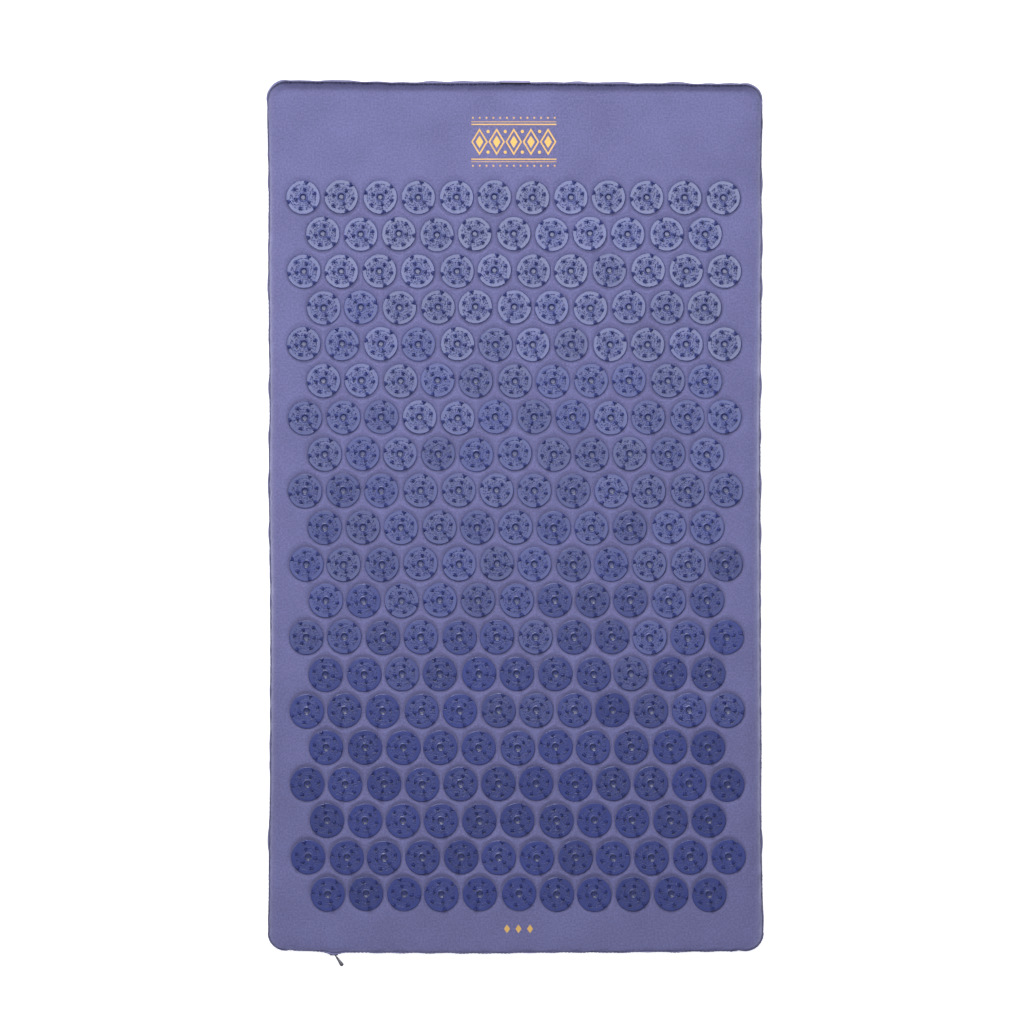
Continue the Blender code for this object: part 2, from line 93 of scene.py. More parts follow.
# How far the top panel lies below the discs' seat at each edge step
SHOULDERS = {
    "left": (0.0036, 0.0026, 0.0018, 0.0012, 0.0008, 0.0005, 0.0002, 0, 0, 0, 0),
    "head": (0.0043, 0.0038, 0.0034, 0.0029, 0.0022, 0.0011, 0.0002, 0, 0, 0, 0),
    "right": (0.0034, 0.0024, 0.0017, 0.0012, 0.0008, 0.0005, 0.0003, 0.0001, 0, 0, 0),
    "foot": (0.0034, 0.0024, 0.0017, 0.0012, 0.0009, 0.0007, 0.0005, 0.0002, 0, 0, 0),
}
# How far the top seam lies inside the outline on each side
SEAM_INSETS = {"left": 0.0011, "head": 0.0029, "right": 0.0010, "foot": 0.0009}
# How far each side bows out of a straight line, from its foot or left end to its other end
SIDE_BOWS = {
    "left": (0.0010, 0.0001, -0.0010, -0.0008, 0, 0.0001, 0.0006, 0.0008, 0.0020),
    "right": (0.0022, 0.0004, 0.0001, -0.0002, -0.0004, 0, 0.0005, 0.0004, 0.0014),
    "head": (0.0022, 0.0014, 0.0005, 0.0003, 0.0002, 0, -0.0004, -0.0009, -0.0011),
    "foot": (-0.0015, 0.0003, 0.0010, 0.0014, 0.0011, 0.0005, 0.0004, 0.0001, -0.0007),
}
# How strong the painted highlight on the top panel's cloth is, and how dark its painted shade lies by its
# seam, at each edge step
EDGE_HIGHLIGHT = {
    "left": (0.4, 1.0, 1.0, 0.45, 0.18, 0.06, 0, 0, 0, 0, 0),
    "head": (0, 0, 0, 0, 0, 0, 0, 0, 0, 0, 0),
    "right": (0.8, 1.0, 1.0, 0.5, 0.2, 0.08, 0, 0, 0, 0, 0),
    "foot": (0.6, 0.5, 0.3, 0.1, 0, 0, 0, 0, 0, 0, 0),
}
EDGE_SHADE = {
    "left": (0.3, 0.05, 0, 0, 0, 0, 0, 0, 0, 0, 0),
    "head": (1.0, 0.90, 0.66, 0.54, 0.53, 0.44, 0.14, 0, 0, 0, 0),
    "right": (0.1, 0, 0, 0, 0, 0, 0, 0, 0, 0, 0),
    "foot": (0, 0, 0, 0, 0, 0, 0, 0, 0, 0, 0),
}
# How strong the painted highlight line is on each side, from its foot or left end to its other end
SIDE_HIGHLIGHT = {
    "left": (0.4, 0.7, 1.2, 0.95, 0.9, 0.3),
    "right": (1.0, 1.1, 1.6, 1.8, 1.0, 0.2),
    "head": (1.0, 1.0),
    "foot": (1.0, 1.0, 0.7, 0.4, 0),
}
# How dark the painted shade along the seam's line lies on each side
SEAM_DARK = {"left": 0.4, "head": 1.0, "right": 0.4, "foot": 0}
# How far the bottom panel rises to its seam at each edge step, and how far that seam lies inside
UNDERSIDE_RISE = (0.0036, 0.0026, 0.0018, 0.0011, 0.0006, 0.0003, 0.0001, 0, 0, 0, 0)
BOTTOM_SEAM_INSET = 0.0030
# The band between its seams: share of the way out to the outline, and share of its height
BAND_ROWS = (
    (0, 1), (0.34, 1.05), (0.60, 1.01), (0.82, 0.93), (0.95, 0.82), (1, 0.66), (1, 0.5),
    (1, 0.34), (0.95, 0.18), (0.82, 0.07), (0.60, -0.01), (0.34, -0.05), (0, 0),
)
FOOT_ROWS = (
    (0, 1), (0.34, 1.05), (0.62, 1.01), (0.84, 0.95), (0.96, 0.88), (1, 0.772), (1, 0.52),
    (1, 0.272), (0.96, 0.18), (0.84, 0.08), (0.62, -0.01), (0.34, -0.05), (0, 0),
)
# The rows at which the two foot strips end, with the zip's window between them
WINDOW_TOP_ROW = 5
WINDOW_BOTTOM_ROW = 7
# The zip's window: its middle as a share of the foot's height, and where it closes towards the ends
WINDOW_MIDDLE = 0.52
WINDOW_HALF_WIDTH = 0.163
WINDOW_CLOSING = 0.014
# How far along the seam the cloth bulges over the slider
SLIDER_BUMP_REACH = 0.0070
# How strong the painted highlight and the painted shade are on each row of the band
BAND_HIGHLIGHT = (0.1, 0.5, 0.6, 0.4, 0.15, 0.05, 0, 0.05, 0.1, 0.2, 0.25, 0.15, 0)
BAND_SHADE = (1, 0.35, 0, 0, 0, 0, 0, 0, 0, 0, 0, 0.3, 1)
# How far the painted shade round a disc is shifted towards the head end: in the first row, and what each
# row adds
SHADE_SHIFT = -0.0006
SHADE_SHIFT_STEP = 0.000105
# How many frames the cover's cloth settles for, and the farthest that this may move a point of it
CLOTH_FRAMES = 20
LARGEST_MOVE = 0.0022
# The smallest corner radius of the foam's rings
SMALLEST_CORNER = 0.0178
# The printed border's middle, the distance between its lozenges and the sizes of one, outside in
BORDER_CENTRE = (-0.0010, 0.3190)
BORDER_PITCH = 0.0146
BORDER_LOZENGES = ((0.0140, 0.0230), (0.0112, 0.0186), (0.0064, 0.0106))

made = {}


def length_property(name, description, default, low=0.0):
    """A size in metres."""
    return FloatProperty(name=name, description=description, default=default, min=low, unit="LENGTH")


def angle_property(name, description, degrees):
    """An angle whose default is given in degrees."""
    return FloatProperty(
        name=name, description=description, default=math.radians(degrees), min=0, subtype="ANGLE"
    )


def colour_property(name, description, default):
    """A colour in linear shares of red, green and blue."""
    return FloatVectorProperty(
        name=name, description=description, default=default, min=0, max=1, subtype="COLOR"
    )


class MatCoverSizes(bpy.types.PropertyGroup):
    """Sizes and colours of the cotton cover and the foam in it."""

    corner_radius: length_property(
        "Corner radius", "Radius of the cover's corners seen from above", 0.018, 0.005
    )
    cloth_thickness: length_property("Cloth thickness", "Thickness of the cotton canvas", 0.0007, 0.0002)
    grid_cell: length_property("Grid cell", "Size of the cloth's mesh cells", 0.0042, 0.002)
    thread_pitch: length_property(
        "Thread pitch", "Distance between two threads of the canvas", 0.00062, 0.0002
    )
    stitch_pitch: length_property("Stitch pitch", "Distance from one stitch to the next", 0.0032, 0.001)
    cotton_colour: colour_property("Cotton colour", "Colour of the canvas", (0.182, 0.178, 0.368))
    # Painted shade: the colour that the canvas is painted deep in a seam
    seam_shade_colour: colour_property(
        "Seam colour", "Colour of the canvas deep in a seam", (0.009, 0.008, 0.045)
    )
    thread_colour: colour_property("Thread colour", "Colour of the sewing thread", (0.150, 0.142, 0.330))
    foam_colour: colour_property("Foam colour", "Colour of the pad", (0.78, 0.74, 0.62))


class MatDiscSizes(bpy.types.PropertyGroup):
    """Sizes and colour of the spiked discs."""

    radius: length_property("Disc radius", "Radius of one disc", 0.0146, 0.005)
    pitch: length_property("Disc pitch", "Distance between two discs of a row", 0.0325, 0.01)
    spike_height: length_property("Spike height", "Height of the spikes over the disc", 0.0042, 0.001)
    tilt: angle_property("Tilt", "How far a disc may lean with the cloth under it", 1.5)
    twist: angle_property("Twist", "How far a disc may be turned off its place's turn", 6)
    drift: length_property("Drift", "How far a disc may lie off its place in the row", 0.0006)
    seed: IntProperty(name="Seed", description="Seed of the discs' turns and tilts", default=7)
    plastic_colour: colour_property("Plastic colour", "Colour of the discs", (0.040, 0.054, 0.225))


class MatPrintSizes(bpy.types.PropertyGroup):
    """Size and colour of the gold ornament and the blank label."""

    gold_colour: colour_property("Gold colour", "Colour of the print", (0.74, 0.46, 0.13))
    ink_height: length_property("Ink height", "How far the print stands over the cloth", 0.00012, 0.00002)
    ribbon_colour: colour_property("Ribbon colour", "Colour of the label", (0.34, 0.32, 0.56))


class MatZipSizes(bpy.types.PropertyGroup):
    """Sizes and colours of the zip."""

    tooth_pitch: length_property("Tooth pitch", "Advance of the coil in one turn", 0.0015, 0.0008)
    wire_radius: length_property("Coil wire", "Radius of the coil's nylon wire", 0.00032, 0.0001)
    tape_colour: colour_property("Tape colour", "Colour of the zip's tape", (0.150, 0.142, 0.330))
    coil_colour: colour_property("Coil colour", "Colour of the coils", (0.115, 0.105, 0.270))
    metal_colour: colour_property(
        "Metal colour", "Colour of the slider, the pull and the stops", (0.135, 0.130, 0.155)
    )


class MatStudioSettings(bpy.types.PropertyGroup):
    """The camera that the mat is shown with."""

    camera_height: length_property("Camera height", "Height of the camera over the floor", 5.0, 1.0)
    view_height: length_property(
        "View height", "Length of the floor that the picture shows from top to bottom", 0.8733, 0.01
    )


class Wire:
    """An output socket of a node. Arithmetic on it adds Math nodes."""

    def __init__(self, tree, socket):
        self.tree = tree
        self.socket = socket

    def other(self, name):
        """Another output of the same node."""
        return Wire(self.tree, self.socket.node.outputs[name])

    def math(self, operation, first, second=0.0):
        return self.tree.node("ShaderNodeMath", {"operation": operation}, {0: first, 1: second})

    def __add__(self, other):
        return self.math("ADD", self, other)

    __radd__ = __add__

    def __sub__(self, other):
        return self.math("SUBTRACT", self, other)

    def __rsub__(self, other):
        return self.math("SUBTRACT", other, self)

    def __mul__(self, other):
        return self.math("MULTIPLY", self, other)

    __rmul__ = __mul__

    def __truediv__(self, other):
        return self.math("DIVIDE", self, other)

    def __pow__(self, other):
        return self.math("POWER", self, other)

    def __abs__(self):
        return self.math("ABSOLUTE", self)

    def __gt__(self, other):
        return self.math("GREATER_THAN", self, other)

    def sine(self):
        return self.math("SINE", self)


class NodeMaker:
    """Adds nodes to one tree."""

    def __init__(self, tree):
        self.tree = tree

    def node(self, kind, settings=None, inputs=None, output=0):
        """Add a node with its settings, then its sockets' values and links. Returns one output."""
        new = self.tree.nodes.new(kind)
        for name, value in (settings or {}).items():
            if name == "stops":
                ramp = new.color_ramp
                while len(ramp.elements) < len(value):
                    ramp.elements.new(0.5)
                for element, (place, colour) in zip(ramp.elements, value):
                    element.position = place
                    element.color = colour
            else:
                setattr(new, name, value)
        for key, value in (inputs or {}).items():
            self.feed(new.inputs[key], value)
        return Wire(self, new.outputs[output]) if len(new.outputs) else new

    def feed(self, socket, value):
        """Link a wire to a socket, or set the socket to a plain value."""
        if isinstance(value, Wire):
            self.tree.links.new(value.socket, socket)
        else:
            socket.default_value = value


class Finish(NodeMaker):
    """A material with one Principled shader, and the nodes that vary it over a surface."""

    def __init__(self, name):
        self.material = bpy.data.materials.new(name)
        self.material.use_nodes = True
        super().__init__(self.material.node_tree)
        self.shader = self.tree.nodes["Principled BSDF"]

    def shade(self, **values):
        """Set or link the shader's sockets, named with underscores for spaces."""
        for name, value in values.items():
            self.feed(self.shader.inputs[name.replace("_", " ")], value)
        return self.material

    def object_place(self):
        return self.node("ShaderNodeTexCoord", output="Object")

    def uv_place(self, name):
        return self.node("ShaderNodeUVMap", {"uv_map": name})

    def attribute(self, name):
        return self.node("ShaderNodeAttribute", {"attribute_name": name}, output="Fac")

    def split(self, vector):
        """The X, Y and Z wires of a vector."""
        x = self.node("ShaderNodeSeparateXYZ", inputs={0: vector})
        return x, x.other("Y"), x.other("Z")

    def stretched(self, vector, scale):
        return self.node("ShaderNodeMapping", inputs={"Vector": vector, "Scale": scale})

    def grain(self, vector, scale, detail=2.0, roughness=0.55):
        return self.node(
            "ShaderNodeTexNoise",
            inputs={"Vector": vector, "Scale": scale, "Detail": detail, "Roughness": roughness},
        )

    def blend(self, share, first, second):
        """Mix two colours by a share."""
        return self.node(
            "ShaderNodeMix", {"data_type": "RGBA"}, {0: share, 6: first, 7: second}, output=2
        )

    def tint(self, share, colour, dark, light):
        """Mix a darker and a lighter shade of one colour by a share."""
        return self.blend(share, shade_of(colour, dark), shade_of(colour, light))

    def between(self, share, low, high):
        """Bring a wire of 0 to 1 to a range."""
        return share * (high - low) + low

    def ease(self, value, start, end):
        """A smooth step from 0 at start to 1 at end."""
        return self.node(
            "ShaderNodeMapRange",
            {"interpolation_type": "SMOOTHSTEP"},
            {"Value": value, "From Min": start, "From Max": end},
        )

    def relief(self, height, strength, distance, over=None):
        """A bump, laid over another one where that is given."""
        inputs = {"Height": height, "Strength": strength, "Distance": distance}
        if over is not None:
            inputs["Normal"] = over
        return self.node("ShaderNodeBump", inputs=inputs)


def shade_of(colour, factor):
    """A colour made lighter or darker, as four numbers."""
    return (*(min(1.0, part * factor) for part in colour), 1.0)


def canvas_height(u, v, thread):
    """The height of a plain weave with threads at a pitch along u and v."""
    warp = (u * (math.pi / thread)).sine()
    weft = (v * (math.pi / thread)).sine()
    over = (warp * weft) > 0.0
    warp, weft = abs(warp), abs(weft)
    return over * (warp ** 0.35 * weft) + (1 - over) * (warp * weft ** 0.35)


def disc_distance(finish, discs):
    """How far a point lies outside the nearest disc and outside the painted shade round it, seen from
    above.

    The painted shade lies towards the foot end in the first rows and towards the head end in the last.
    """
    x, y, _ = finish.split(finish.object_place())
    middles = [(low + high) / 2 for low, high in map(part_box, DISC_ROWS)]
    aside, step, _ = (middles[-1] - middles[0]) / (len(middles) - 1)
    row = (y - middles[0].y) / step
    nearest = shaded = None
    for ahead in (0, 1):
        line = row.math("FLOOR", row) + ahead
        line = line.math("MAXIMUM", line, 0.0)
        line = line.math("MINIMUM", line, len(middles) - 1.0)
        odd = line.math("MODULO", line, 2.0)
        place = (x - (line * aside + middles[0].x)) / discs.pitch + (1 - odd) * 0.5
        # A row of 12 discs has the seats -5 to 6, and a row of 11 has -5 to 5
        seat = place.math("ROUND", place)
        seat = seat.math("MAXIMUM", seat, -5.0)
        seat = seat.math("MINIMUM", seat, 6 - odd)
        across = (place - seat) * discs.pitch
        down = (row - line) * step
        gap = (across * across + down * down) ** 0.5
        nearest = gap if nearest is None else gap.math("MINIMUM", gap, nearest)
        down = down - (line * SHADE_SHIFT_STEP + SHADE_SHIFT)
        gap = (across * across + down * down) ** 0.5
        shaded = gap if shaded is None else gap.math("MINIMUM", gap, shaded)
    return nearest - discs.radius, shaded - discs.radius


def cotton_finish(sizes, discs):
    """Cotton canvas: a slubby plain weave, with a painted highlight along its seam ridges and painted
    shade in its seams and round the discs.
    """
    finish = Finish("lavender_cotton")
    place = finish.uv_place("weave")
    u, v, _ = finish.split(place)
    weave = canvas_height(u, v, sizes.thread_pitch)
    mottle = finish.grain(place, 620, 4.0, 0.62)
    cloud = finish.grain(place, 22, 2.0)
    slub_u = finish.grain(finish.stretched(place, (180, 1150, 1)), 1.0, 2.0)
    slub_v = finish.grain(finish.stretched(place, (1150, 180, 1)), 1.0, 2.0)
    tone = mottle * 0.56 + cloud * 0.20 + slub_u * 0.12 + slub_v * 0.12
    colour = sizes.cotton_colour
    base = finish.tint(finish.ease(tone, 0.34, 0.66), colour, 0.78, 1.22)
    # Painted highlight along the seam ridges, then painted shade deep in the seams
    ridge_highlight = finish.attribute("rub") * finish.between(mottle, 0.5, 0.9)
    base = finish.blend(ridge_highlight, base, (0.46, 0.45, 0.68, 1.0))
    base = finish.blend(finish.attribute("seam"), base, (*sizes.seam_shade_colour, 1.0))
    # Painted shade round each disc, on its foot side in the first rows and on its head side in the last
    above = finish.split(finish.object_place())[2] > 0.012
    gap, shaded = disc_distance(finish, discs)
    near = (1 - finish.ease(shaded, 0.0002, 0.0024)) * 0.30
    base = finish.blend(near * above, base, shade_of(colour, 0.25))
    puffed = finish.relief(finish.ease(gap, -0.001, 0.0052) * above, 1.0, 0.0010)
    rough = finish.between(mottle, 0.78, 0.94)
    height = weave * 0.7 + slub_u * 0.15 + slub_v * 0.15 + mottle * 0.35
    return finish.shade(
        Base_Color=base, Roughness=rough, Normal=finish.relief(height, 0.55, 0.00022, over=puffed),
        Sheen_Weight=0.12, Sheen_Roughness=0.5, Specular_IOR_Level=0.25,
    )


def foam_finish(sizes):
    """Open-celled foam, with painted shade in its pores."""
    finish = Finish("cream_foam")
    place = finish.object_place()
    cells = finish.node("ShaderNodeTexVoronoi", inputs={"Vector": place, "Scale": 900})
    patch = finish.grain(place, 40, 3.0)
    colour = sizes.foam_colour
    base = finish.tint(patch, colour, 0.9, 1.06)
    # Painted shade in the pores, the hollows of the foam's bump
    base = finish.blend((1 - finish.ease(cells, 0.0, 0.45)) * 0.35, base, shade_of(colour, 0.6))
    return finish.shade(
        Base_Color=base, Roughness=finish.between(patch, 0.88, 0.98),
        Normal=finish.relief(cells, 0.6, 0.0004), Specular_IOR_Level=0.2,
    )


def thread_finish(colour):
    """Twisted polyester sewing thread."""
    finish = Finish("sewing_thread")
    place = finish.object_place()
    x, y, z = finish.split(place)
    twist = ((x + y * 0.7 + z * 0.9) * (math.tau / 0.0007)).sine()
    lint = finish.grain(place, 1500, 2.0)
    base = finish.tint(lint, colour, 0.8, 1.25)
    return finish.shade(
        Base_Color=base, Roughness=finish.between(lint, 0.45, 0.65),
        Normal=finish.relief(twist, 0.4, 0.00008),
    )


def disc_finish(sizes):
    """Glossy moulded plastic with a lacy rosette pressed into it, each disc a little different, with
    painted shade in its pits and in the hollow of its raised ring.
    """
    finish = Finish("navy_plastic")
    place = finish.uv_place("disc")
    u, v, _ = finish.split(place)
    x = u * 2 - 1
    y = v * 2 - 1
    reach = (x * x + y * y) ** 0.5
    angle = finish.node("ShaderNodeMath", {"operation": "ARCTAN2"}, {0: y, 1: x})
    zone = finish.ease(reach, 0.28, 0.33) * (1 - finish.ease(reach, 0.74, 0.80))
    polar = finish.node("ShaderNodeCombineXYZ", inputs={"X": angle * (22 / math.tau), "Y": reach * 8.5})
    beads = finish.node(
        "ShaderNodeTexVoronoi", {"voronoi_dimensions": "2D"},
        {"Vector": polar, "Scale": 1.0, "Randomness": 0.6},
    )
    rings = ((reach - 0.235) * (math.tau / 0.235) + math.pi / 2).sine() * 0.5 + 0.5
    pits = zone * (1 - finish.ease(beads, 0.14, 0.36)) * finish.between(rings, 0.45, 1.0)
    petals = abs((angle * 6).sine() * 0.55 + (reach * (math.tau / 0.155)).sine())
    knots = finish.grain(finish.stretched(place, (15, 15, 1)), 1.0, 3.0, 0.7)
    batch = finish.attribute("batch")
    flow = finish.grain(finish.stretched(place, (1.2, 5.0, 1)), 1.6, 2.0)
    colour = sizes.plastic_colour
    base = finish.tint(batch * 0.6 + flow * 0.4, colour, 0.84, 1.18)
    # Painted shade in the rosette's pits
    base = finish.blend(pits * 0.7, base, shade_of(colour, 0.35))
    # Painted shade in the raised ring's hollow, weaker on the hollow's floor
    cup = 1 - finish.ease(reach, 0.190, 0.205)
    floor = 1 - finish.ease(reach, 0.125, 0.140)
    base = finish.blend(cup, base, shade_of(colour, 0.36))
    base = finish.blend(floor, base, shade_of(colour, 0.70))
    scuff = finish.grain(finish.stretched(place, (4, 60, 1)), 1.0, 3.0, 0.65)
    rough = zone * 0.05 + finish.between(scuff, 0.12, 0.24)
    dish = 0
    for offset, distance in ((0, 0.69), (math.pi / 3, 0.44), (math.pi / 3, 0.90)):
        turn = angle + (math.tau + math.pi / 3 - offset)
        turn = turn.math("MODULO", turn, math.tau / 3) - math.pi / 3
        along = reach * turn.math("COSINE", turn) - distance
        aside = reach * turn.sine()
        dish = 1 - finish.ease((along * along + aside * aside) ** 0.5, 0.09, 0.15) + dish
    height = zone * (petals * 0.08 + knots * 0.19) - rings * zone * 0.12
    height = height - pits * 1.3 - dish * 0.7 + scuff * 0.04
    return finish.shade(
        Base_Color=base, Roughness=rough, Normal=finish.relief(height, 0.8, 0.00030), IOR=1.5,
    )


def tape_finish(sizes):
    """Woven zip tape with fine ribs across it."""
    finish = Finish("zip_tape_weave")
    place = finish.object_place()
    x, _, z = finish.split(place)
    rib = (x * (math.tau / 0.00055)).sine()
    twill = ((x + z * 1.6) * (math.tau / 0.0011)).sine()
    lint = finish.grain(place, 900, 3.0)
    colour = sizes.tape_colour
    base = finish.tint(lint * 0.6 + twill * 0.15 + 0.15, colour, 0.8, 1.2)
    return finish.shade(
        Base_Color=base, Roughness=finish.between(lint, 0.72, 0.9),
        Normal=finish.relief(rib * 0.5 + twill * 0.5, 0.5, 0.0001), Specular_IOR_Level=0.3,
    )


def coil_finish(sizes):
    """Dyed nylon wire."""
    finish = Finish("zip_coil_nylon")
    place = finish.object_place()
    grain = finish.grain(place, 700, 2.0)
    colour = sizes.coil_colour
    base = finish.tint(grain, colour, 0.75, 1.3)
    return finish.shade(
        Base_Color=base, Roughness=finish.between(grain, 0.28, 0.45),
        Normal=finish.relief(grain, 0.2, 0.00006),
    )


def metal_finish(sizes):
    """Gunmetal lacquer on die-cast zinc, worn brighter in places."""
    finish = Finish("dark_metal")
    place = finish.object_place()
    cast = finish.grain(place, 420, 4.0, 0.6)
    wear = finish.ease(finish.grain(place, 150, 3.0), 0.52, 0.72)
    colour = sizes.metal_colour
    base = finish.tint(wear * 0.5, colour, 0.9, 2.1)
    rough = finish.between(cast, 0.24, 0.44) + wear * 0.06
    return finish.shade(
        Base_Color=base, Roughness=rough, Metallic=0.85,
        Normal=finish.relief(cast, 0.25, 0.00008),
    )


def ribbon_finish(sizes):
    """Satin-woven ribbon, with painted shade where it goes into the seam."""
    finish = Finish("label_ribbon")
    place = finish.uv_place("weave")
    u, v, _ = finish.split(place)
    floats = ((u * (math.tau / 0.0005)).sine() * 0.5 + (v * (math.tau / 0.0009)).sine())
    lint = finish.grain(place, 700, 3.0)
    colour = sizes.ribbon_colour
    base = finish.tint(lint, colour, 0.88, 1.12)
    # Painted shade: the ribbon's first stretch, where it goes into the seam, is nearly black
    base = finish.blend(1 - finish.ease(v, 0.0015, 0.0022), base, shade_of(colour, 0.02))
    return finish.shade(
        Base_Color=base, Roughness=finish.between(lint, 0.4, 0.6),
        Normal=finish.relief(floats, 0.35, 0.00008), Sheen_Weight=0.1,
    )


def gold_finish(sizes):
    """Gold ink pressed into canvas, worn through here and there on the threads."""
    finish = Finish("gold_ink")
    place = finish.object_place()
    x, y, _ = finish.split(place)
    weave = canvas_height(x, y, 0.00062)
    speck = finish.grain(place, 800, 3.0, 0.6)
    colour = sizes.gold_colour
    base = finish.tint(speck, colour, 0.86, 1.10)
    thin = finish.ease(speck + (1 - weave) * 0.25, 0.74, 0.98) * 0.5
    base = finish.blend(thin, base, (0.30, 0.24, 0.34, 1.0))
    return finish.shade(
        Base_Color=base, Metallic=finish.between(thin, 0.35, 0.05),
        Roughness=finish.between(speck, 0.42, 0.58),
        Normal=finish.relief(weave * 0.7 + speck * 0.4, 0.5, 0.00016),
    )


def linked(name, mesh, smooth_angle=None):
    """Put a mesh into the scene as an object at the origin."""
    obj = bpy.data.objects.new(name, mesh)
    bpy.context.scene.collection.objects.link(obj)
    if smooth_angle is not None:
        smooth(obj, smooth_angle)
    return obj


def mesh_object(name, verts, faces, smooth_angle=None):
    """Make a mesh object from points and faces."""
    mesh = bpy.data.meshes.new(name)
    mesh.from_pydata([tuple(float(part) for part in point) for point in verts], [], faces)
    mesh.update()
    return linked(name, mesh, smooth_angle)


def bmesh_object(name, bm, smooth_angle=None):
    """Turn a bmesh into an object."""
    mesh = bpy.data.meshes.new(name)
    bm.to_mesh(mesh)
    bm.free()
    return linked(name, mesh, smooth_angle)


def face_outward(obj, degrees, close=False):
    """Turn all faces outward and shade them smooth, with open ends joined up or closed first."""
    bm = bmesh.new()
    bm.from_mesh(obj.data)
    if close:
        bmesh.ops.remove_doubles(bm, verts=bm.verts, dist=1e-6)
        ends = [edge for edge in bm.edges if edge.is_boundary]
        bmesh.ops.holes_fill(bm, edges=ends, sides=0)
    bmesh.ops.recalc_face_normals(bm, faces=bm.faces)
    bm.to_mesh(obj.data)
    bm.free()
    smooth(obj, degrees)
    return obj


def tube_faces(rings, sides):
    """Quads between the rings of a tube whose points are numbered ring by ring."""
    faces = []
    for k in range(rings - 1):
        for s in range(sides):
            t = (s + 1) % sides
            faces.append((k * sides + s, k * sides + t, (k + 1) * sides + t, (k + 1) * sides + s))
    return faces


def smooth(obj, degrees):
    """Shade smooth, with edges sharper than an angle kept hard."""
    obj.data.shade_smooth()
    if degrees < 180:
        obj.data.set_sharp_from_angle(angle=math.radians(degrees))


def dress(obj, material, replaces=(), body=BODY):
    """Give a finished piece its material and its body, and hide the CAD nodes that it stands for."""
    obj.data.materials.clear()
    obj.data.materials.append(material)
    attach(obj, body)
    if replaces:
        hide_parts(*replaces)
    return obj


def add_uv(obj, name, per_vertex):
    """Give a mesh a UV map from one pair of numbers for each vertex."""
    layer = obj.data.uv_layers.new(name=name)
    index = np.empty(len(obj.data.loops), dtype=np.int32)
    obj.data.loops.foreach_get("vertex_index", index)
    layer.data.foreach_set("uv", np.asarray(per_vertex, dtype=np.float32)[index].ravel())


def add_share(obj, name, per_vertex):
    """Give a mesh an attribute of one number for each vertex."""
    layer = obj.data.attributes.new(name, "FLOAT", "POINT")
    layer.data.foreach_set("value", np.asarray(per_vertex, dtype=np.float32))


def weave_uv(obj, climb, run):
    """Give a sheet its weave's UV map from the distances up it and along it."""
    uv = np.stack(np.meshgrid(climb, run, indexing="ij")[::-1], axis=2)
    add_uv(obj, "weave", uv.reshape(-1, 2))


def plain_mesh(obj):
    """Replace an object's modifiers by the mesh that they make."""
    graph = bpy.context.evaluated_depsgraph_get()
    mesh = bpy.data.meshes.new_from_object(obj.evaluated_get(graph))
    mesh.name = obj.name
    obj.modifiers.clear()
    obj.data = mesh
    return obj


class NodeGroup(NodeMaker):
    """A Geometry Nodes tree with named inputs."""

    def __init__(self, name, inputs):
        group = bpy.data.node_groups.new(name, "GeometryNodeTree")
        group.interface.new_socket("Geometry", in_out="INPUT", socket_type="NodeSocketGeometry")
        for label, kind in inputs.items():
            group.interface.new_socket(label, in_out="INPUT", socket_type=kind)
        group.interface.new_socket("Geometry", in_out="OUTPUT", socket_type="NodeSocketGeometry")
        super().__init__(group)
        self.group = group
        self.entry = self.node("NodeGroupInput")

    def given(self, name):
        """The wire of a named input."""
        return self.entry.other(name)

    def given_shape(self, name):
        """The mesh of an object that is a named input."""
        return self.node("GeometryNodeObjectInfo", inputs={"Object": self.given(name)}, output="Geometry")

    def copies(self, points, shape, rotation):
        """One turned copy of a shape on each point."""
        return self.node(
            "GeometryNodeInstanceOnPoints",
            inputs={"Points": points, "Instance": shape, "Rotation": rotation},
        )

    def turned(self, euler):
        """A rotation from three angles."""
        return self.node("FunctionNodeEulerToRotation", inputs={"Euler": euler})

    def end(self, geometry):
        """Close the tree: real geometry with its material."""
        real = self.node("GeometryNodeRealizeInstances", inputs={"Geometry": geometry})
        painted = self.node(
            "GeometryNodeSetMaterial", inputs={"Geometry": real, "Material": self.given("Material")}
        )
        self.node("NodeGroupOutput", inputs={"Geometry": painted})
        return self.group


def run_nodes(obj, group, values):
    """Run a Geometry Nodes tree on an object and keep the mesh that it makes."""
    modifier = obj.modifiers.new(group.name, "NODES")
    modifier.node_group = group
    for item in group.interface.items_tree:
        if item.item_type == "SOCKET" and item.in_out == "INPUT" and item.name in values:
            modifier[item.identifier] = values[item.name]
    return plain_mesh(obj)


def seed_object(name, points=((0, 0, 0),), edges=()):
    """A mesh of loose points or edges for a Geometry Nodes tree to work on."""
    mesh = bpy.data.meshes.new(name)
    mesh.from_pydata([tuple(point) for point in points], list(edges), [])
    return linked(name, mesh)


def remove(*objects):
    """Take objects that only helped to make others out of the file."""
    for obj in objects:
        mesh = obj.data
        bpy.data.objects.remove(obj)
        if mesh.users == 0:
            bpy.data.meshes.remove(mesh)


def grid_lines(low, high, cells):
    """Positions of a grid's lines: close together near both ends, evenly spaced between."""
    near = low + EDGE_STEPS
    far = high - EDGE_STEPS[::-1]
    return np.concatenate([near, np.linspace(near[-1], far[0], cells + 1)[1:-1], far])


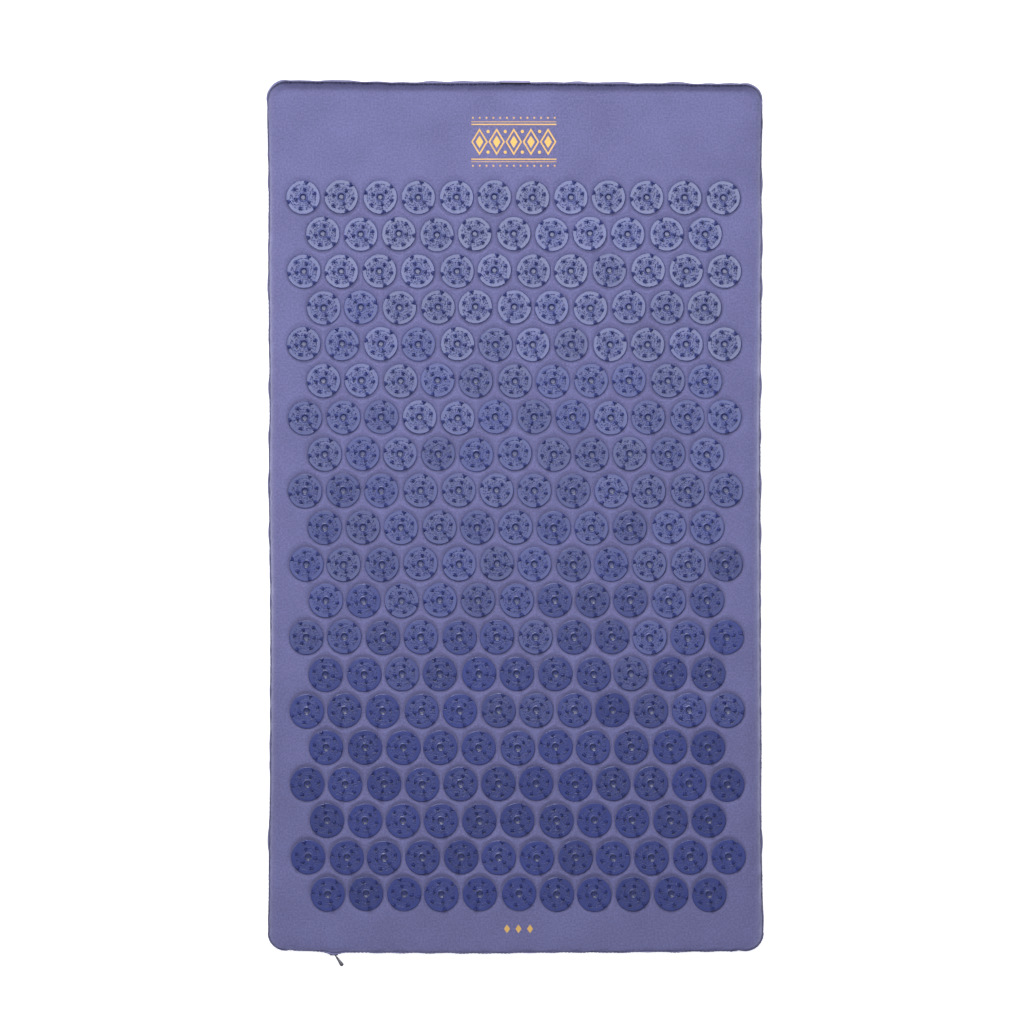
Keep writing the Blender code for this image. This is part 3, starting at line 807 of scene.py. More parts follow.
def panel_plan(low, high, radius, cells):
    """A rounded panel's grid seen from above: x, y, edge step and outward direction of each point."""
    x, y = np.meshgrid(
        grid_lines(low[0], high[0], cells[0]), grid_lines(low[1], high[1], cells[1]), indexing="ij"
    )
    i, j = np.indices(x.shape)
    step = np.minimum(np.minimum(i, x.shape[0] - 1 - i), np.minimum(j, x.shape[1] - 1 - j))
    near = step < len(EDGE_STEPS)
    inset = EDGE_STEPS[np.minimum(step, len(EDGE_STEPS) - 1)]
    bend = np.where(near, radius - inset, 0)
    side_x = np.where(x > (low[0] + high[0]) / 2, 1.0, -1.0)
    side_y = np.where(y > (low[1] + high[1]) / 2, 1.0, -1.0)
    from_x = np.minimum(x - low[0], high[0] - x) - inset
    from_y = np.minimum(y - low[1], high[1] - y) - inset
    upright = from_x <= from_y
    corner = near & (from_x < bend) & (from_y < bend)
    share = np.where(corner, 1 - np.maximum(from_x, from_y) / np.maximum(bend, 1e-9), 0)
    angle = share * math.pi / 4
    out_x = side_x * np.where(upright, np.cos(angle), np.sin(angle))
    out_y = side_y * np.where(upright, np.sin(angle), np.cos(angle))
    hub_x = np.where(side_x > 0, high[0] - radius, low[0] + radius)
    hub_y = np.where(side_y > 0, high[1] - radius, low[1] + radius)
    x = np.where(corner, hub_x + bend * out_x, x)
    y = np.where(corner, hub_y + bend * out_y, y)
    return x, y, step, out_x, out_y


def side_mix(out_x, out_y, values):
    """Blend one value for each side by the direction a point faces."""
    return (
        np.maximum(-out_x, 0) ** 2 * values["left"]
        + np.maximum(out_x, 0) ** 2 * values["right"]
        + np.maximum(out_y, 0) ** 2 * values["head"]
        + np.maximum(-out_y, 0) ** 2 * values["foot"]
    )


def run_along(table, x, y, low, high):
    """Read a table of values along each side at points seen from above."""
    places = {"left": (y - low[1]) / (high[1] - low[1]), "head": (x - low[0]) / (high[0] - low[0])}
    places["right"] = places["left"]
    places["foot"] = places["head"]
    return {
        side: np.interp(places[side], np.linspace(0, 1, len(values)), values)
        for side, values in table.items()
    }


def by_side(table, near, out_x, out_y, strengths=None):
    """Blend a table of one row of edge steps for each side."""
    values = {side: np.array(steps)[near] for side, steps in table.items()}
    if strengths:
        values = {side: steps * strengths[side] for side, steps in values.items()}
    return side_mix(out_x, out_y, values)


def ripples(x, y, frequency, layer):
    """Smooth noise between about -1 and 1 at points seen from above."""
    flat = zip(np.ravel(x) * frequency, np.ravel(y) * frequency)
    values = [noise.noise(Vector((a, b, layer))) for a, b in flat]
    return np.array(values).reshape(np.shape(x)) * 1.6


def ring_indices(columns, rows):
    """The panel's rim as grid indices, clockwise from the zip's left end round to its right end."""
    first = len(EDGE_STEPS) - 1
    left_foot = [(i, 0) for i in range(first, 0, -1)]
    left = [(0, j) for j in range(rows)]
    head = [(i, rows - 1) for i in range(1, columns)]
    right = [(columns - 1, j) for j in range(rows - 2, -1, -1)]
    right_foot = [(i, 0) for i in range(columns - 2, columns - 2 - first, -1)]
    foot = [(i, 0) for i in range(columns - 2 - first, first, -1)]
    band = left_foot + left + head + right + right_foot
    return band, foot


def disc_seats(sizes):
    """The discs' places, row by row."""
    rows = []
    for name in DISC_ROWS:
        low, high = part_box(name)
        count = 1 + round((high.x - low.x - 2 * sizes.radius) / sizes.pitch)
        y = (low.y + high.y) / 2
        first = (low.x + high.x) / 2 - (count - 1) * sizes.pitch / 2
        rows.append([(first + i * sizes.pitch, y) for i in range(count)])
    return rows


def puff(x, y, seats, radius):
    """How the cloth dips under the discs and rises a little between them."""
    centres = np.array([seat for row in seats for seat in row])
    height = np.zeros(x.shape)
    for index in np.ndindex(x.shape):
        nearest = math.sqrt(((centres - (x[index], y[index])) ** 2).sum(axis=1).min())
        reach = (nearest - radius) / 0.004
        height[index] = -0.0001 if reach < 0 else 0.0003 * min(reach, 1) * math.exp(-max(reach - 1, 0))
    return height


def cover_shape(cover, discs):
    """The cover's shape as grids of points: top panel, band rows and bottom panel."""
    low = np.array((BAND_LOW.x, min(BAND_LOW.y, UPPER_LOW.y)))
    high = np.array(BAND_HIGH.xy)
    radius = cover.corner_radius
    reach = high - low - 2 * EDGE_STEPS[-1]
    cells = [int(round(side / cover.grid_cell)) for side in reach]

    outline_x, outline_y, _, out_x, out_y = panel_plan(low, high, radius, cells)
    seam_low = low + (SEAM_INSETS["left"], SEAM_INSETS["foot"])
    seam_high = high - (SEAM_INSETS["right"], SEAM_INSETS["head"])
    top_x, top_y, step, _, _ = panel_plan(seam_low, seam_high, radius - 0.0005, cells)
    under_x, under_y = panel_plan(
        low + BOTTOM_SEAM_INSET, high - BOTTOM_SEAM_INSET, radius - 0.002, cells
    )[:2]

    near = np.minimum(step, len(EDGE_STEPS) - 1)
    fade = np.clip(1 - EDGE_STEPS[near] / EDGE_STEPS[-1], 0, 1)
    along_x = np.abs(out_y)
    along_y = np.abs(out_x)
    slow = ripples(outline_x, outline_y, 13, 0.7)
    seam_slow = ripples(outline_x, outline_y, 17, 5.3)
    pucker = (
        ripples(outline_x, np.zeros_like(outline_x), 62, 2.1) * along_x
        + ripples(np.zeros_like(outline_x), outline_y, 62, 8.4) * along_y
    )
    bow = side_mix(out_x, out_y, run_along(SIDE_BOWS, outline_x, outline_y, low, high))
    bow = bow + 0.0014 * np.abs(2 * out_x * out_y)

    outline_shift = bow + slow * 0.0002 + pucker * 0.00012
    seam_shift = bow + slow * 0.0002 + seam_slow * 0.0003 + pucker * 0.0002
    slider_bump = np.exp(-(((outline_x - PULL_PIVOT.x) / SLIDER_BUMP_REACH) ** 2)) * (out_y < -0.9)
    seam_shift = seam_shift + slider_bump * 0.0013

    top_shift = seam_shift * fade**1.5
    top_x = top_x + out_x * top_shift
    top_y = top_y + out_y * top_shift
    drop = by_side(SHOULDERS, near, out_x, out_y)
    crease = pucker * 0.00035 * fade**2 * (1 - fade**6)
    swell = ripples(top_x, top_y, 9, 3.3) * 0.00012 + ripples(top_x, top_y, 38, 6.6) * 0.00005
    dips = puff(top_x, top_y, disc_seats(discs), discs.radius)
    top_z = TOP_HIGH.z - drop + crease + swell + dips
    under_z = np.where(step < len(EDGE_STEPS), np.array(UNDERSIDE_RISE)[near], 0.0)

    band, foot = ring_indices(*top_x.shape)
    ring = tuple(np.array(band + foot).T)
    top_ring = np.stack([top_x[ring], top_y[ring], top_z[ring]], axis=1)
    under_ring = np.stack([under_x[ring], under_y[ring], under_z[ring]], axis=1)
    nx, ny = out_x[ring], out_y[ring]
    wide_x = outline_x[ring] + nx * outline_shift[ring]
    wide_y = outline_y[ring] + ny * outline_shift[ring]
    foot_share = np.clip(-ny, 0, 1) ** 6
    closing = np.clip((np.abs(outline_x[ring]) - WINDOW_HALF_WIDTH) / WINDOW_CLOSING, 0, 1)
    closing = closing * closing * (3 - 2 * closing)
    rows = []
    for number, (plain, at_foot) in enumerate(zip(BAND_ROWS, FOOT_ROWS)):
        height_share = at_foot[1]
        if WINDOW_TOP_ROW <= number <= WINDOW_BOTTOM_ROW:
            from_middle = at_foot[1] - WINDOW_MIDDLE
            height_share = WINDOW_MIDDLE + from_middle * (1 - 0.9 * closing)
        out = plain[0] + (at_foot[0] - plain[0]) * foot_share
        up = plain[1] + (height_share - plain[1]) * foot_share
        base = under_ring + (top_ring - under_ring) * np.clip(up, 0, 1)[:, None]
        row_x = base[:, 0] + (wide_x - base[:, 0]) * out
        row_y = base[:, 1] + (wide_y - base[:, 1]) * out
        row_z = under_ring[:, 2] + (top_ring[:, 2] - under_ring[:, 2]) * up
        belly = math.sin(math.pi * min(max(plain[1], 0), 1))
        push = pucker[ring] * 0.0004 * belly + slider_bump[ring] * 0.0019 * (number < WINDOW_TOP_ROW + 1)
        if 0 < number < len(BAND_ROWS) - 1:
            row_x = row_x + nx * push
            row_y = row_y + ny * push
        rows.append(np.stack([row_x, row_y, row_z], axis=1))
    rows[0] = top_ring
    rows[-1] = under_ring
    return {
        "top": np.stack([top_x, top_y, top_z], axis=2),
        "bottom": np.stack([under_x, under_y, under_z], axis=2),
        "rows": np.array(rows),
        "out": np.stack([nx, ny], axis=1),
        # Painted highlight and painted shade along the top panel's edges
        "rub": by_side(EDGE_HIGHLIGHT, near, out_x, out_y, run_along(SIDE_HIGHLIGHT, top_x, top_y, low, high)),
        "shade": by_side(EDGE_SHADE, near, out_x, out_y),
        "step": step,
        "fade": fade,
        "band_count": len(band),
        "ring": ring,
    }


def numbered(*shape):
    """Whole numbers from 0 in a grid."""
    return np.arange(math.prod(shape)).reshape(shape)


def grid_faces(index, flip=False):
    """Quads of a grid whose point numbers are index[i, j]."""
    faces = []
    for i, j in np.ndindex(index.shape[0] - 1, index.shape[1] - 1):
        face = (index[i, j], index[i + 1, j], index[i + 1, j + 1], index[i, j + 1])
        faces.append(tuple(int(k) for k in (reversed(face) if flip else face)))
    return faces


def strip_faces(index, closed=False):
    """Quads of rows that run clockwise round the mat, from the top row down."""
    rows, columns = index.shape
    faces = []
    for r, c in np.ndindex(rows - 1, columns if closed else columns - 1):
        d = (c + 1) % columns
        face = (index[r, c], index[r, d], index[r + 1, d], index[r + 1, c])
        faces.append(tuple(int(k) for k in face))
    return faces


def closed_shell(name, top, rows, bottom, ring, smooth_angle=None):
    """Join a top panel, the rows round it and a bottom panel to one skin.

    The first and last row are the panels' own rims. Gives the object, its points and their numbers.
    """
    middle = rows[1:-1]
    top_index = numbered(*top.shape[:2])
    row_index = numbered(*middle.shape[:2]) + top_index.size
    bottom_index = top_index + top_index.size + row_index.size
    band_index = np.concatenate([[top_index[ring]], row_index, [bottom_index[ring]]])
    points = np.concatenate([part.reshape(-1, 3) for part in (top, middle, bottom)])
    faces = (
        grid_faces(top_index)
        + strip_faces(band_index, closed=True)
        + grid_faces(bottom_index, flip=True)
    )
    shell = mesh_object(name, points, faces, smooth_angle)
    return shell, points, top_index, band_index, bottom_index


def settle_cover(shape):
    """Cloth simulation of the closed cover: the seams draw in and the cloth between them swells.

    The band is sewn taut, so most of its shortest waves are evened out afterwards.
    """
    rows = shape["rows"]
    ring = shape["ring"]
    shell, points, top_index, band_index, bottom_index = closed_shell(
        "cover_shell", shape["top"], rows, shape["bottom"], ring
    )
    count = top_index.size

    held = np.ones(len(points))
    fade = shape["fade"].ravel()
    held[:count] = np.where(fade > 0, 0.55 - 0.35 * fade, 0.9)
    held[top_index[ring]] = 0.85
    profile = np.array([0.85, 0.4, 0.25, 0.12, 0.08, 0.06, 0.06, 0.06, 0.08, 0.15, 0.3, 0.5, 0.9])
    held[band_index[1:-1].ravel()] = np.repeat(profile[1:-1], rows.shape[1])
    at_foot = band_index[WINDOW_TOP_ROW : WINDOW_BOTTOM_ROW + 1, shape["band_count"] :]
    held[at_foot.ravel()] = 0.8
    drawn = np.full(len(points), 0.35)
    drawn[top_index[ring]] = 1.0
    drawn[bottom_index[ring]] = 1.0
    drawn[:count] = np.where(fade > 0, np.where(fade > 0.99, 1.0, 0.45), 0.62)
    drawn[bottom_index.ravel()] = 0.62
    for name, weights in (("held", held), ("drawn", drawn)):
        group = shell.vertex_groups.new(name=name)
        for weight in np.unique(weights):
            members = np.nonzero(weights == weight)[0]
            group.add([int(k) for k in members], float(weight), "REPLACE")

    cloth = shell.modifiers.new("Cotton", "CLOTH")
    settings = cloth.settings
    settings.quality = 4
    settings.mass = 0.3
    settings.tension_stiffness = 12
    settings.compression_stiffness = 12
    settings.shear_stiffness = 4
    settings.bending_stiffness = 0.15
    settings.air_damping = 2
    settings.vertex_group_mass = "held"
    settings.pin_stiffness = 1.5
    settings.vertex_group_shrink = "drawn"
    settings.shrink_min = -0.05
    settings.shrink_max = 0.03
    settings.use_pressure = True
    settings.uniform_pressure_force = 3
    settings.effector_weights.gravity = 0
    cloth.collision_settings.use_collision = False
    scene = bpy.context.scene
    for number in range(1, CLOTH_FRAMES + 1):
        scene.frame_set(number)
    graph = bpy.context.evaluated_depsgraph_get()
    settled = shell.evaluated_get(graph)
    moved = np.empty(len(points) * 3)
    settled.data.vertices.foreach_get("co", moved)
    scene.frame_set(1)
    move = moved.reshape(-1, 3) - points
    length = np.linalg.norm(move, axis=1)
    move *= (np.minimum(length, LARGEST_MOVE) / np.maximum(length, 1e-9))[:, None]
    ring_move = move[band_index[1:]]
    even = ring_move
    for _ in range(6):
        even = (np.roll(even, 1, axis=1) + even * 2 + np.roll(even, -1, axis=1)) / 4
    move[band_index[1:]] = even * 0.8 + ring_move * 0.2
    points = points + move
    remove(shell)
    shape["top"] = points[top_index]
    shape["bottom"][..., :2] = points[bottom_index][..., :2]
    shape["rows"] = points[band_index]
    shape["rows"][-1, :, 2] = shape["bottom"][ring][:, 2]
    return shape


def along(points):
    """Distance run along a line of points."""
    steps = np.linalg.norm(np.diff(points, axis=0), axis=1)
    return np.concatenate([[0], np.cumsum(steps)])


def panel_object(name, grid, flip):
    """A panel of the cover as a sheet, with its weave's UV map."""
    obj = mesh_object(name, grid.reshape(-1, 3), grid_faces(numbered(*grid.shape[:2]), flip), 180)
    add_uv(obj, "weave", grid.reshape(-1, 3)[:, :2])
    return obj


def thicken(obj, thickness):
    """Give a sheet its thickness on the inner side."""
    modifier = obj.modifiers.new("Thickness", "SOLIDIFY")
    modifier.thickness = thickness
    modifier.offset = -1
    modifier.use_even_offset = False


def foot_strip(name, rows, upper):
    """A foot strip with its hem folded in behind the zip's edge, swept as one closed skin."""
    lines = [row.copy() for row in rows]
    down = -1.0 if upper else 1.0
    for inset, drop in ((0.00025, 0.00045), (0.0007, 0.0007), (0.00115, 0.00045), (0.0014, -0.0002)):
        fold = rows[-1].copy()
        fold[:, 1] += inset
        fold[:, 2] += down * drop
        lines.append(fold)
    for row in reversed(rows[1:-1]):
        back = row.copy()
        back[:, 1] += 0.0014
        lines.append(back)
    points = np.array(lines)
    index = numbered(*points.shape[:2])
    faces = strip_faces(np.concatenate([index, index[:1]]))
    faces.append(tuple(int(k) for k in index[::-1, 0]))
    faces.append(tuple(int(k) for k in index[:, -1]))
    if not upper:
        faces = [tuple(reversed(face)) for face in faces]
    obj = mesh_object(name, points.reshape(-1, 3), faces, 50)
    weave_uv(obj, along(points[:, points.shape[1] // 2]), along(rows[len(rows) // 2]))
    return obj


class MATPIECES_OT_make_cover(bpy.types.Operator):
    """Make the cotton cover: top panel, side band, foot strips and bottom panel."""

    bl_idname = "matpieces.make_cover"
    bl_label = "Make the cover"

    def execute(self, context):
        cover = context.scene.mat_cover
        discs = context.scene.mat_discs
        shape = cover_shape(cover, discs)
        shape = settle_cover(shape)
        made["cover"] = shape
        cotton = cotton_finish(cover, discs)

        top = panel_object("cover_top_cloth", shape["top"], flip=False)
        # Painted highlight along the ridges and painted shade by the seams
        add_share(top, "rub", shape["rub"].ravel())
        add_share(top, "seam", shape["shade"].ravel())

        near = np.minimum(shape["step"], len(EDGE_STEPS) - 1)
        bottom = panel_object("cover_bottom_cloth", shape["bottom"], flip=True)
        # Painted highlight and painted shade by the bottom panel's seam
        add_share(bottom, "rub", np.array(EDGE_HIGHLIGHT["foot"])[near].ravel() * 0.5)
        add_share(bottom, "seam", np.array(EDGE_SHADE["right"])[near].ravel())

        rows = shape["rows"]
        count = shape["band_count"]
        band_rows = rows[:, :count].copy()
        for column, tuck in ((0, 0.0011), (1, 0.0002), (count - 1, 0.0011), (count - 2, 0.0002)):
            band_rows[:, column, 1] += tuck
        faces = strip_faces(numbered(*band_rows.shape[:2]))
        band = mesh_object("side_band_cloth", band_rows.reshape(-1, 3), faces, 180)
        weave_uv(band, along(band_rows[:, count // 2]), along(band_rows[6]))
        # Painted highlight and painted shade on the band's rows, the shade strongest at its seams
        dark = side_mix(shape["out"][:count, 0], shape["out"][:count, 1], SEAM_DARK)
        add_share(band, "rub", np.repeat(BAND_HIGHLIGHT, count))
        add_share(band, "seam", np.outer(BAND_SHADE, dark).ravel())
        for sheet in (top, bottom, band):
            thicken(sheet, cover.cloth_thickness)

        foot = np.concatenate([rows[:, count - 1 :], rows[:, :1]], axis=1)
        foot[:, 0, 1] += 0.0009
        foot[:, -1, 1] += 0.0009
        made["foot"] = foot
        upper = foot_strip("foot_strip_upper", foot[: WINDOW_TOP_ROW + 1], upper=True)
        lower = foot_strip("foot_strip_lower", foot[: WINDOW_BOTTOM_ROW - 1 : -1], upper=False)
        across = foot.shape[1]
        for strip in (upper, lower):
            # Painted highlight along each strip's seam and along its edge at the zip
            rub = np.zeros(len(strip.data.vertices))
            rub[: 4 * across] = 0.45
            rub[5 * across : 6 * across] = 0.25
            add_share(strip, "rub", rub)
            add_share(strip, "seam", np.zeros_like(rub))

        for piece, node in (
            (top, "cover_top_panel"), (bottom, "cover_bottom_panel"), (band, "side_band"),
            (upper, "foot_band_upper"), (lower, "foot_band_lower"),
        ):
            dress(piece, cotton, [node])
        return {"FINISHED"}


class MATPIECES_OT_make_foam(bpy.types.Operator):
    """Make the foam pad inside the cover: a slab with rounded, slightly crowned sides."""

    bl_idname = "matpieces.make_foam"
    bl_label = "Make the foam pad"

    def execute(self, context):
        cover = context.scene.mat_cover
        low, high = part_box("foam_pad")
        radius = cover.corner_radius - 0.005
        levels = ((0.0096, 0.0), (0.0060, 0.0013), (0.0030, 0.0036), (0.0008, 0.0070))
        profile = [(inset, high.z - depth) for inset, depth in levels]
        profile.append((0.0, (low.z + high.z) / 2))
        profile += [(inset * 0.6, low.z + depth * 0.7) for inset, depth in reversed(levels)]

        def plan(inset):
            flat_low = np.array(low.xy) + inset
            flat_high = np.array(high.xy) - inset
            return panel_plan(flat_low, flat_high, max(radius - inset, SMALLEST_CORNER), (12, 22))

        x, y, step, _, _ = plan(profile[0][0])
        ring = tuple(np.array(sum(ring_indices(*x.shape), [])).T)
        rings = []
        for inset, height in profile:
            ring_x, ring_y = (part[ring] for part in plan(inset)[:2])
            rings.append(np.stack([ring_x, ring_y, np.full(len(ring_x), height)], axis=1))
        crown = ripples(x, y, 12, 4.4) * 0.00015
        crown = np.where(step == 0, 0, crown - 0.0001)
        top = np.stack([x, y, high.z + crown], axis=2)
        bottom = np.stack([x, y, np.full(x.shape, low.z)], axis=2)
        pad = closed_shell("foam_core", top, np.array(rings), bottom, ring, 180)[0]
        dress(pad, foam_finish(cover), ["foam_pad"])
        return {"FINISHED"}


# Half the width of a disc's notches, the rounding of its rim, and how far inside the rim its three
# outer spikes have their root and their tip
NOTCH_HALF_WIDTH = 0.0023
RIM_ROUNDING = 0.00045
RIM_SPIKE_ROOT = 0.0038
RIM_SPIKE_TIP = 0.0015
# How far the six inner spikes' feet reach at their edges and between them
SPIKE_SPREADS = (0.00210, 0.00115)
# The raised ring and its hollow: distance from the middle and height over the disc
COLLAR = (
    (0.00420, 0), (0.00345, 0.00033), (0.00330, 0.00033), (0.00272, 0.00007), (0.00200, -0.00042),
    (0.00140, -0.00047), (0.00080, -0.00050),
)


def spiked_disc(sizes, thickness):
    """One disc: a thin plate with a raised ring round its hole, and nine three-sided spikes."""
    radius = sizes.radius
    tip = thickness + sizes.spike_height
    bm = bmesh.new()
    third = math.tau / 3
    notch = math.asin(NOTCH_HALF_WIDTH / radius)
    arc_steps = 7
    angles = []
    for number in range(3):
        start = third * number + third / 2 + notch
        sweep = third - 2 * notch
        angles += [start + sweep * k / arc_steps for k in range(arc_steps + 1)]

    def ring(distance, height, turns):
        return [
            bm.verts.new((distance * math.cos(a), distance * math.sin(a), height)) for a in turns
        ]

    def wall(upper, lower):
        for k, vert in enumerate(upper):
            n = (k + 1) % len(upper)
            bm.faces.new((vert, lower[k], lower[n], upper[n]))

    def fill(loops, up):
        verts = [vert for loop in loops for vert in loop]
        for triple in tessellate_polygon([[vert.co for vert in loop] for loop in loops]):
            face = bm.faces.new([verts[k] for k in triple])
            face.normal_update()
            if (face.normal.z > 0) != up:
                face.normal_flip()

    foot = ring(radius, 0.0, angles)
    side = ring(radius, thickness - RIM_ROUNDING, angles)
    ease = ring(radius - 0.00014, thickness - 0.00014, angles)
    rim = ring(radius - RIM_ROUNDING, thickness, angles)
    wall(rim, ease)
    wall(ease, side)
    wall(side, foot)

    outline = []
    for number in range(3):
        spike_angle = third * (number + 1) + third / 2
        arc = rim[number * (arc_steps + 1) : (number + 1) * (arc_steps + 1)]
        after = rim[((number + 1) * (arc_steps + 1)) % len(rim)]
        root = ring(radius - RIM_SPIKE_ROOT, thickness, [spike_angle])[0]
        point = ring(radius - RIM_SPIKE_TIP, tip, [spike_angle])[0]
        for first, second in ((arc[-1], after), (after, root), (root, arc[-1])):
            bm.faces.new((first, second, point))
        outline += arc + [root]

    turns = [math.tau * k / 18 for k in range(18)]
    rings = [ring(distance, thickness + rise, turns) for distance, rise in COLLAR]
    fill([outline, rings[0]], up=True)
    for outer, inner in zip(rings, rings[1:]):
        wall(inner, outer)
    bm.faces.new(rings[-1])
    bm.faces.new(reversed(foot))

    for share, offset in ((0.44, third / 2), (0.69, 0.0)):
        distance = share * radius
        for number in range(3):
            angle = offset + third * number
            middle = Vector((distance * math.cos(angle), distance * math.sin(angle), 0))
            base = []
            for k in range(6):
                spread = SPIKE_SPREADS[k % 2]
                turn = angle + math.pi + k * math.tau / 6
                corner = Vector((spread * math.cos(turn), spread * math.sin(turn), thickness - 0.00006))
                base.append(bm.verts.new(middle + corner))
            point = bm.verts.new(middle + Vector((0, 0, tip)))
            for k in range(6):
                bm.faces.new((base[k], base[(k + 1) % 6], point))
            bm.faces.new(reversed(base))

    layer = bm.loops.layers.uv.new("disc")
    for face in bm.faces:
        for loop in face.loops:
            x, y, _ = loop.vert.co
            loop[layer].uv = (x / radius / 2 + 0.5, y / radius / 2 + 0.5)
    bm.normal_update()
    for face in bm.faces:
        face.smooth = True
    for edge in bm.edges:
        flat = [
            face.normal.z > 0.999 and abs(face.calc_center_median().z - thickness) < 0.00002
            for face in edge.link_faces
        ]
        edge.smooth = edge.calc_face_angle(0) < math.radians(38) and flat[0] == flat[-1]
    for loop in rings[:4]:
        for first, second in zip(loop, loop[1:] + loop[:1]):
            bm.edges.get((first, second)).smooth = False
    return bmesh_object("disc_master", bm)


def disc_turns(name, row, sizes):
    """How far each disc of a packed row is turned, from where its rim spikes' tips are."""
    node = frame["nodes"][name]
    points = [node.matrix_world @ vert.co for vert in node.data.vertices]
    peak = max(point.z for point in points)
    tips = {(round(p.x, 4), round(p.y, 4)) for p in points if p.z > peak - 0.0002}
    turns = []
    for x, y in row:
        angles = [
            math.atan2(b - y, a - x) % (math.tau / 3)
            for a, b in tips
            if 0.84 < math.hypot(a - x, b - y) / sizes.radius < 0.98
        ]
        if not angles:
            raise RuntimeError(f"{name} has no rim spikes round {x:.3f}, {y:.3f}")
        turns.append(angles[0] - math.tau / 6)
    return turns


def disc_row_tree():
    """Geometry Nodes: one row of discs, each turned, tilted and set a little off its place."""
    tree = NodeGroup(
        "disc_row",
        {
            "Disc": "NodeSocketObject", "Tilt": "NodeSocketFloat", "Drift": "NodeSocketFloat",
            "Twist": "NodeSocketFloat", "Seed": "NodeSocketInt", "Material": "NodeSocketMaterial",
        },
    )
    drift = tree.given("Drift")
    high = tree.node("ShaderNodeCombineXYZ", inputs={"X": drift, "Y": drift})
    low = tree.node("ShaderNodeVectorMath", {"operation": "SCALE"}, {0: high, "Scale": -1.0})
    shift = tree.node(
        "FunctionNodeRandomValue", {"data_type": "FLOAT_VECTOR"},
        {"Min": low, "Max": high, "Seed": tree.given("Seed")},
    )
    placed = tree.node(
        "GeometryNodeSetPosition", inputs={"Geometry": tree.given("Geometry"), "Offset": shift}
    )
    tilt, twist = tree.given("Tilt"), tree.given("Twist")
    turn = tree.node("GeometryNodeInputNamedAttribute", {"data_type": "FLOAT"}, {"Name": "turn"})
    lean_high = tree.node("ShaderNodeCombineXYZ", inputs={"X": tilt, "Y": tilt, "Z": turn + twist})
    lean_low = tree.node(
        "ShaderNodeCombineXYZ", inputs={"X": tilt * -1, "Y": tilt * -1, "Z": turn - twist}
    )
    lean = tree.node(
        "FunctionNodeRandomValue", {"data_type": "FLOAT_VECTOR"},
        {"Min": lean_low, "Max": lean_high, "Seed": tree.given("Seed") + 31},
    )
    discs = tree.copies(placed, tree.given_shape("Disc"), tree.turned(lean))
    tone = tree.node("FunctionNodeRandomValue", inputs={"Seed": tree.given("Seed") + 57}, output=1)
    marked = tree.node(
        "GeometryNodeStoreNamedAttribute", {"domain": "INSTANCE"},
        {"Geometry": discs, "Name": "batch", "Value": tone},
    )
    return tree.end(marked)


class MATPIECES_OT_make_discs(bpy.types.Operator):
    """Make the rows of spiked discs."""

    bl_idname = "matpieces.make_discs"
    bl_label = "Make the discs"

    def execute(self, context):
        sizes = context.scene.mat_discs
        low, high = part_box(DISC_ROWS[0])
        seat = TOP_HIGH.z + 0.0001
        thickness = high.z - sizes.spike_height - seat
        master = spiked_disc(sizes, thickness)
        plastic = disc_finish(sizes)
        tree = disc_row_tree()
        for number, (name, row) in enumerate(zip(DISC_ROWS, disc_seats(sizes))):
            obj = seed_object(name + "_discs", [(x, y, seat) for x, y in row])
            add_share(obj, "turn", disc_turns(name, row, sizes))
            run_nodes(
                obj, tree,
                {
                    "Disc": master, "Tilt": sizes.tilt, "Drift": sizes.drift, "Twist": sizes.twist,
                    "Seed": sizes.seed + 101 * number, "Material": plastic,
                },
            )
            dress(obj, plastic, [name])
        remove(master)
        return {"FINISHED"}


def lozenge(width, height):
    """Corners of a lozenge, with the middles of its sides."""
    corners = []
    for k in range(8):
        angle = math.tau * k / 8
        scale = 0.5 * math.sqrt(2) if k % 2 else 1.0
        corners.append((width / 2 * math.cos(angle) * scale, height / 2 * math.sin(angle) * scale))
    return corners


def print_object(name, shapes, surface, ink_height):
    """Thin closed flakes of ink that lie on the cloth. A shape is an outer and an inner outline."""
    verts, faces = [], []

    def place(x, y, lift):
        """A point over the cloth."""
        hit = surface.ray_cast(Vector((x, y, 0.2)), Vector((0, 0, -1)))[0]
        if hit is None:
            raise RuntimeError(f"{name} reaches past the cloth")
        return (x, y, hit.z + lift)

    for outer, inner in shapes:
        loops = [loop for loop in (outer, inner) if loop]
        start = len(verts)
        for lift in (ink_height, -0.00005):
            for loop in loops:
                verts.extend(place(x, y, lift) for x, y in loop)
        total = sum(len(loop) for loop in loops)
        count = len(outer)
        if inner:
            for k in range(count):
                n = (k + 1) % count
                a, b = start + k, start + n
                c, d = start + count + n, start + count + k
                faces.append((a, b, c, d))
                faces.append((d + total, c + total, b + total, a + total))
                faces.append((b, a, a + total, b + total))
                faces.append((d, c, c + total, d + total))
        else:
            faces.append(tuple(start + k for k in range(count)))
            faces.append(tuple(start + total + k for k in reversed(range(count))))
            for k in range(count):
                n = (k + 1) % count
                faces.append((start + n, start + k, start + total + k, start + total + n))
    return mesh_object(name, verts, faces)


def moved(loop, x, y):
    """An outline shifted to its place."""
    return [(a + x, b + y) for a, b in loop]


def bar(x0, x1, y, width, steps):
    """The outline of a straight printed line."""
    xs = np.linspace(x0, x1, steps)
    return [(x, y - width / 2) for x in xs] + [(x, y + width / 2) for x in xs[::-1]]


def dot(x, y, radius, sides=10):
    """The outline of a printed dot."""
    return [
        (x + radius * math.cos(math.tau * k / sides), y + radius * math.sin(math.tau * k / sides))
        for k in range(sides)
    ]


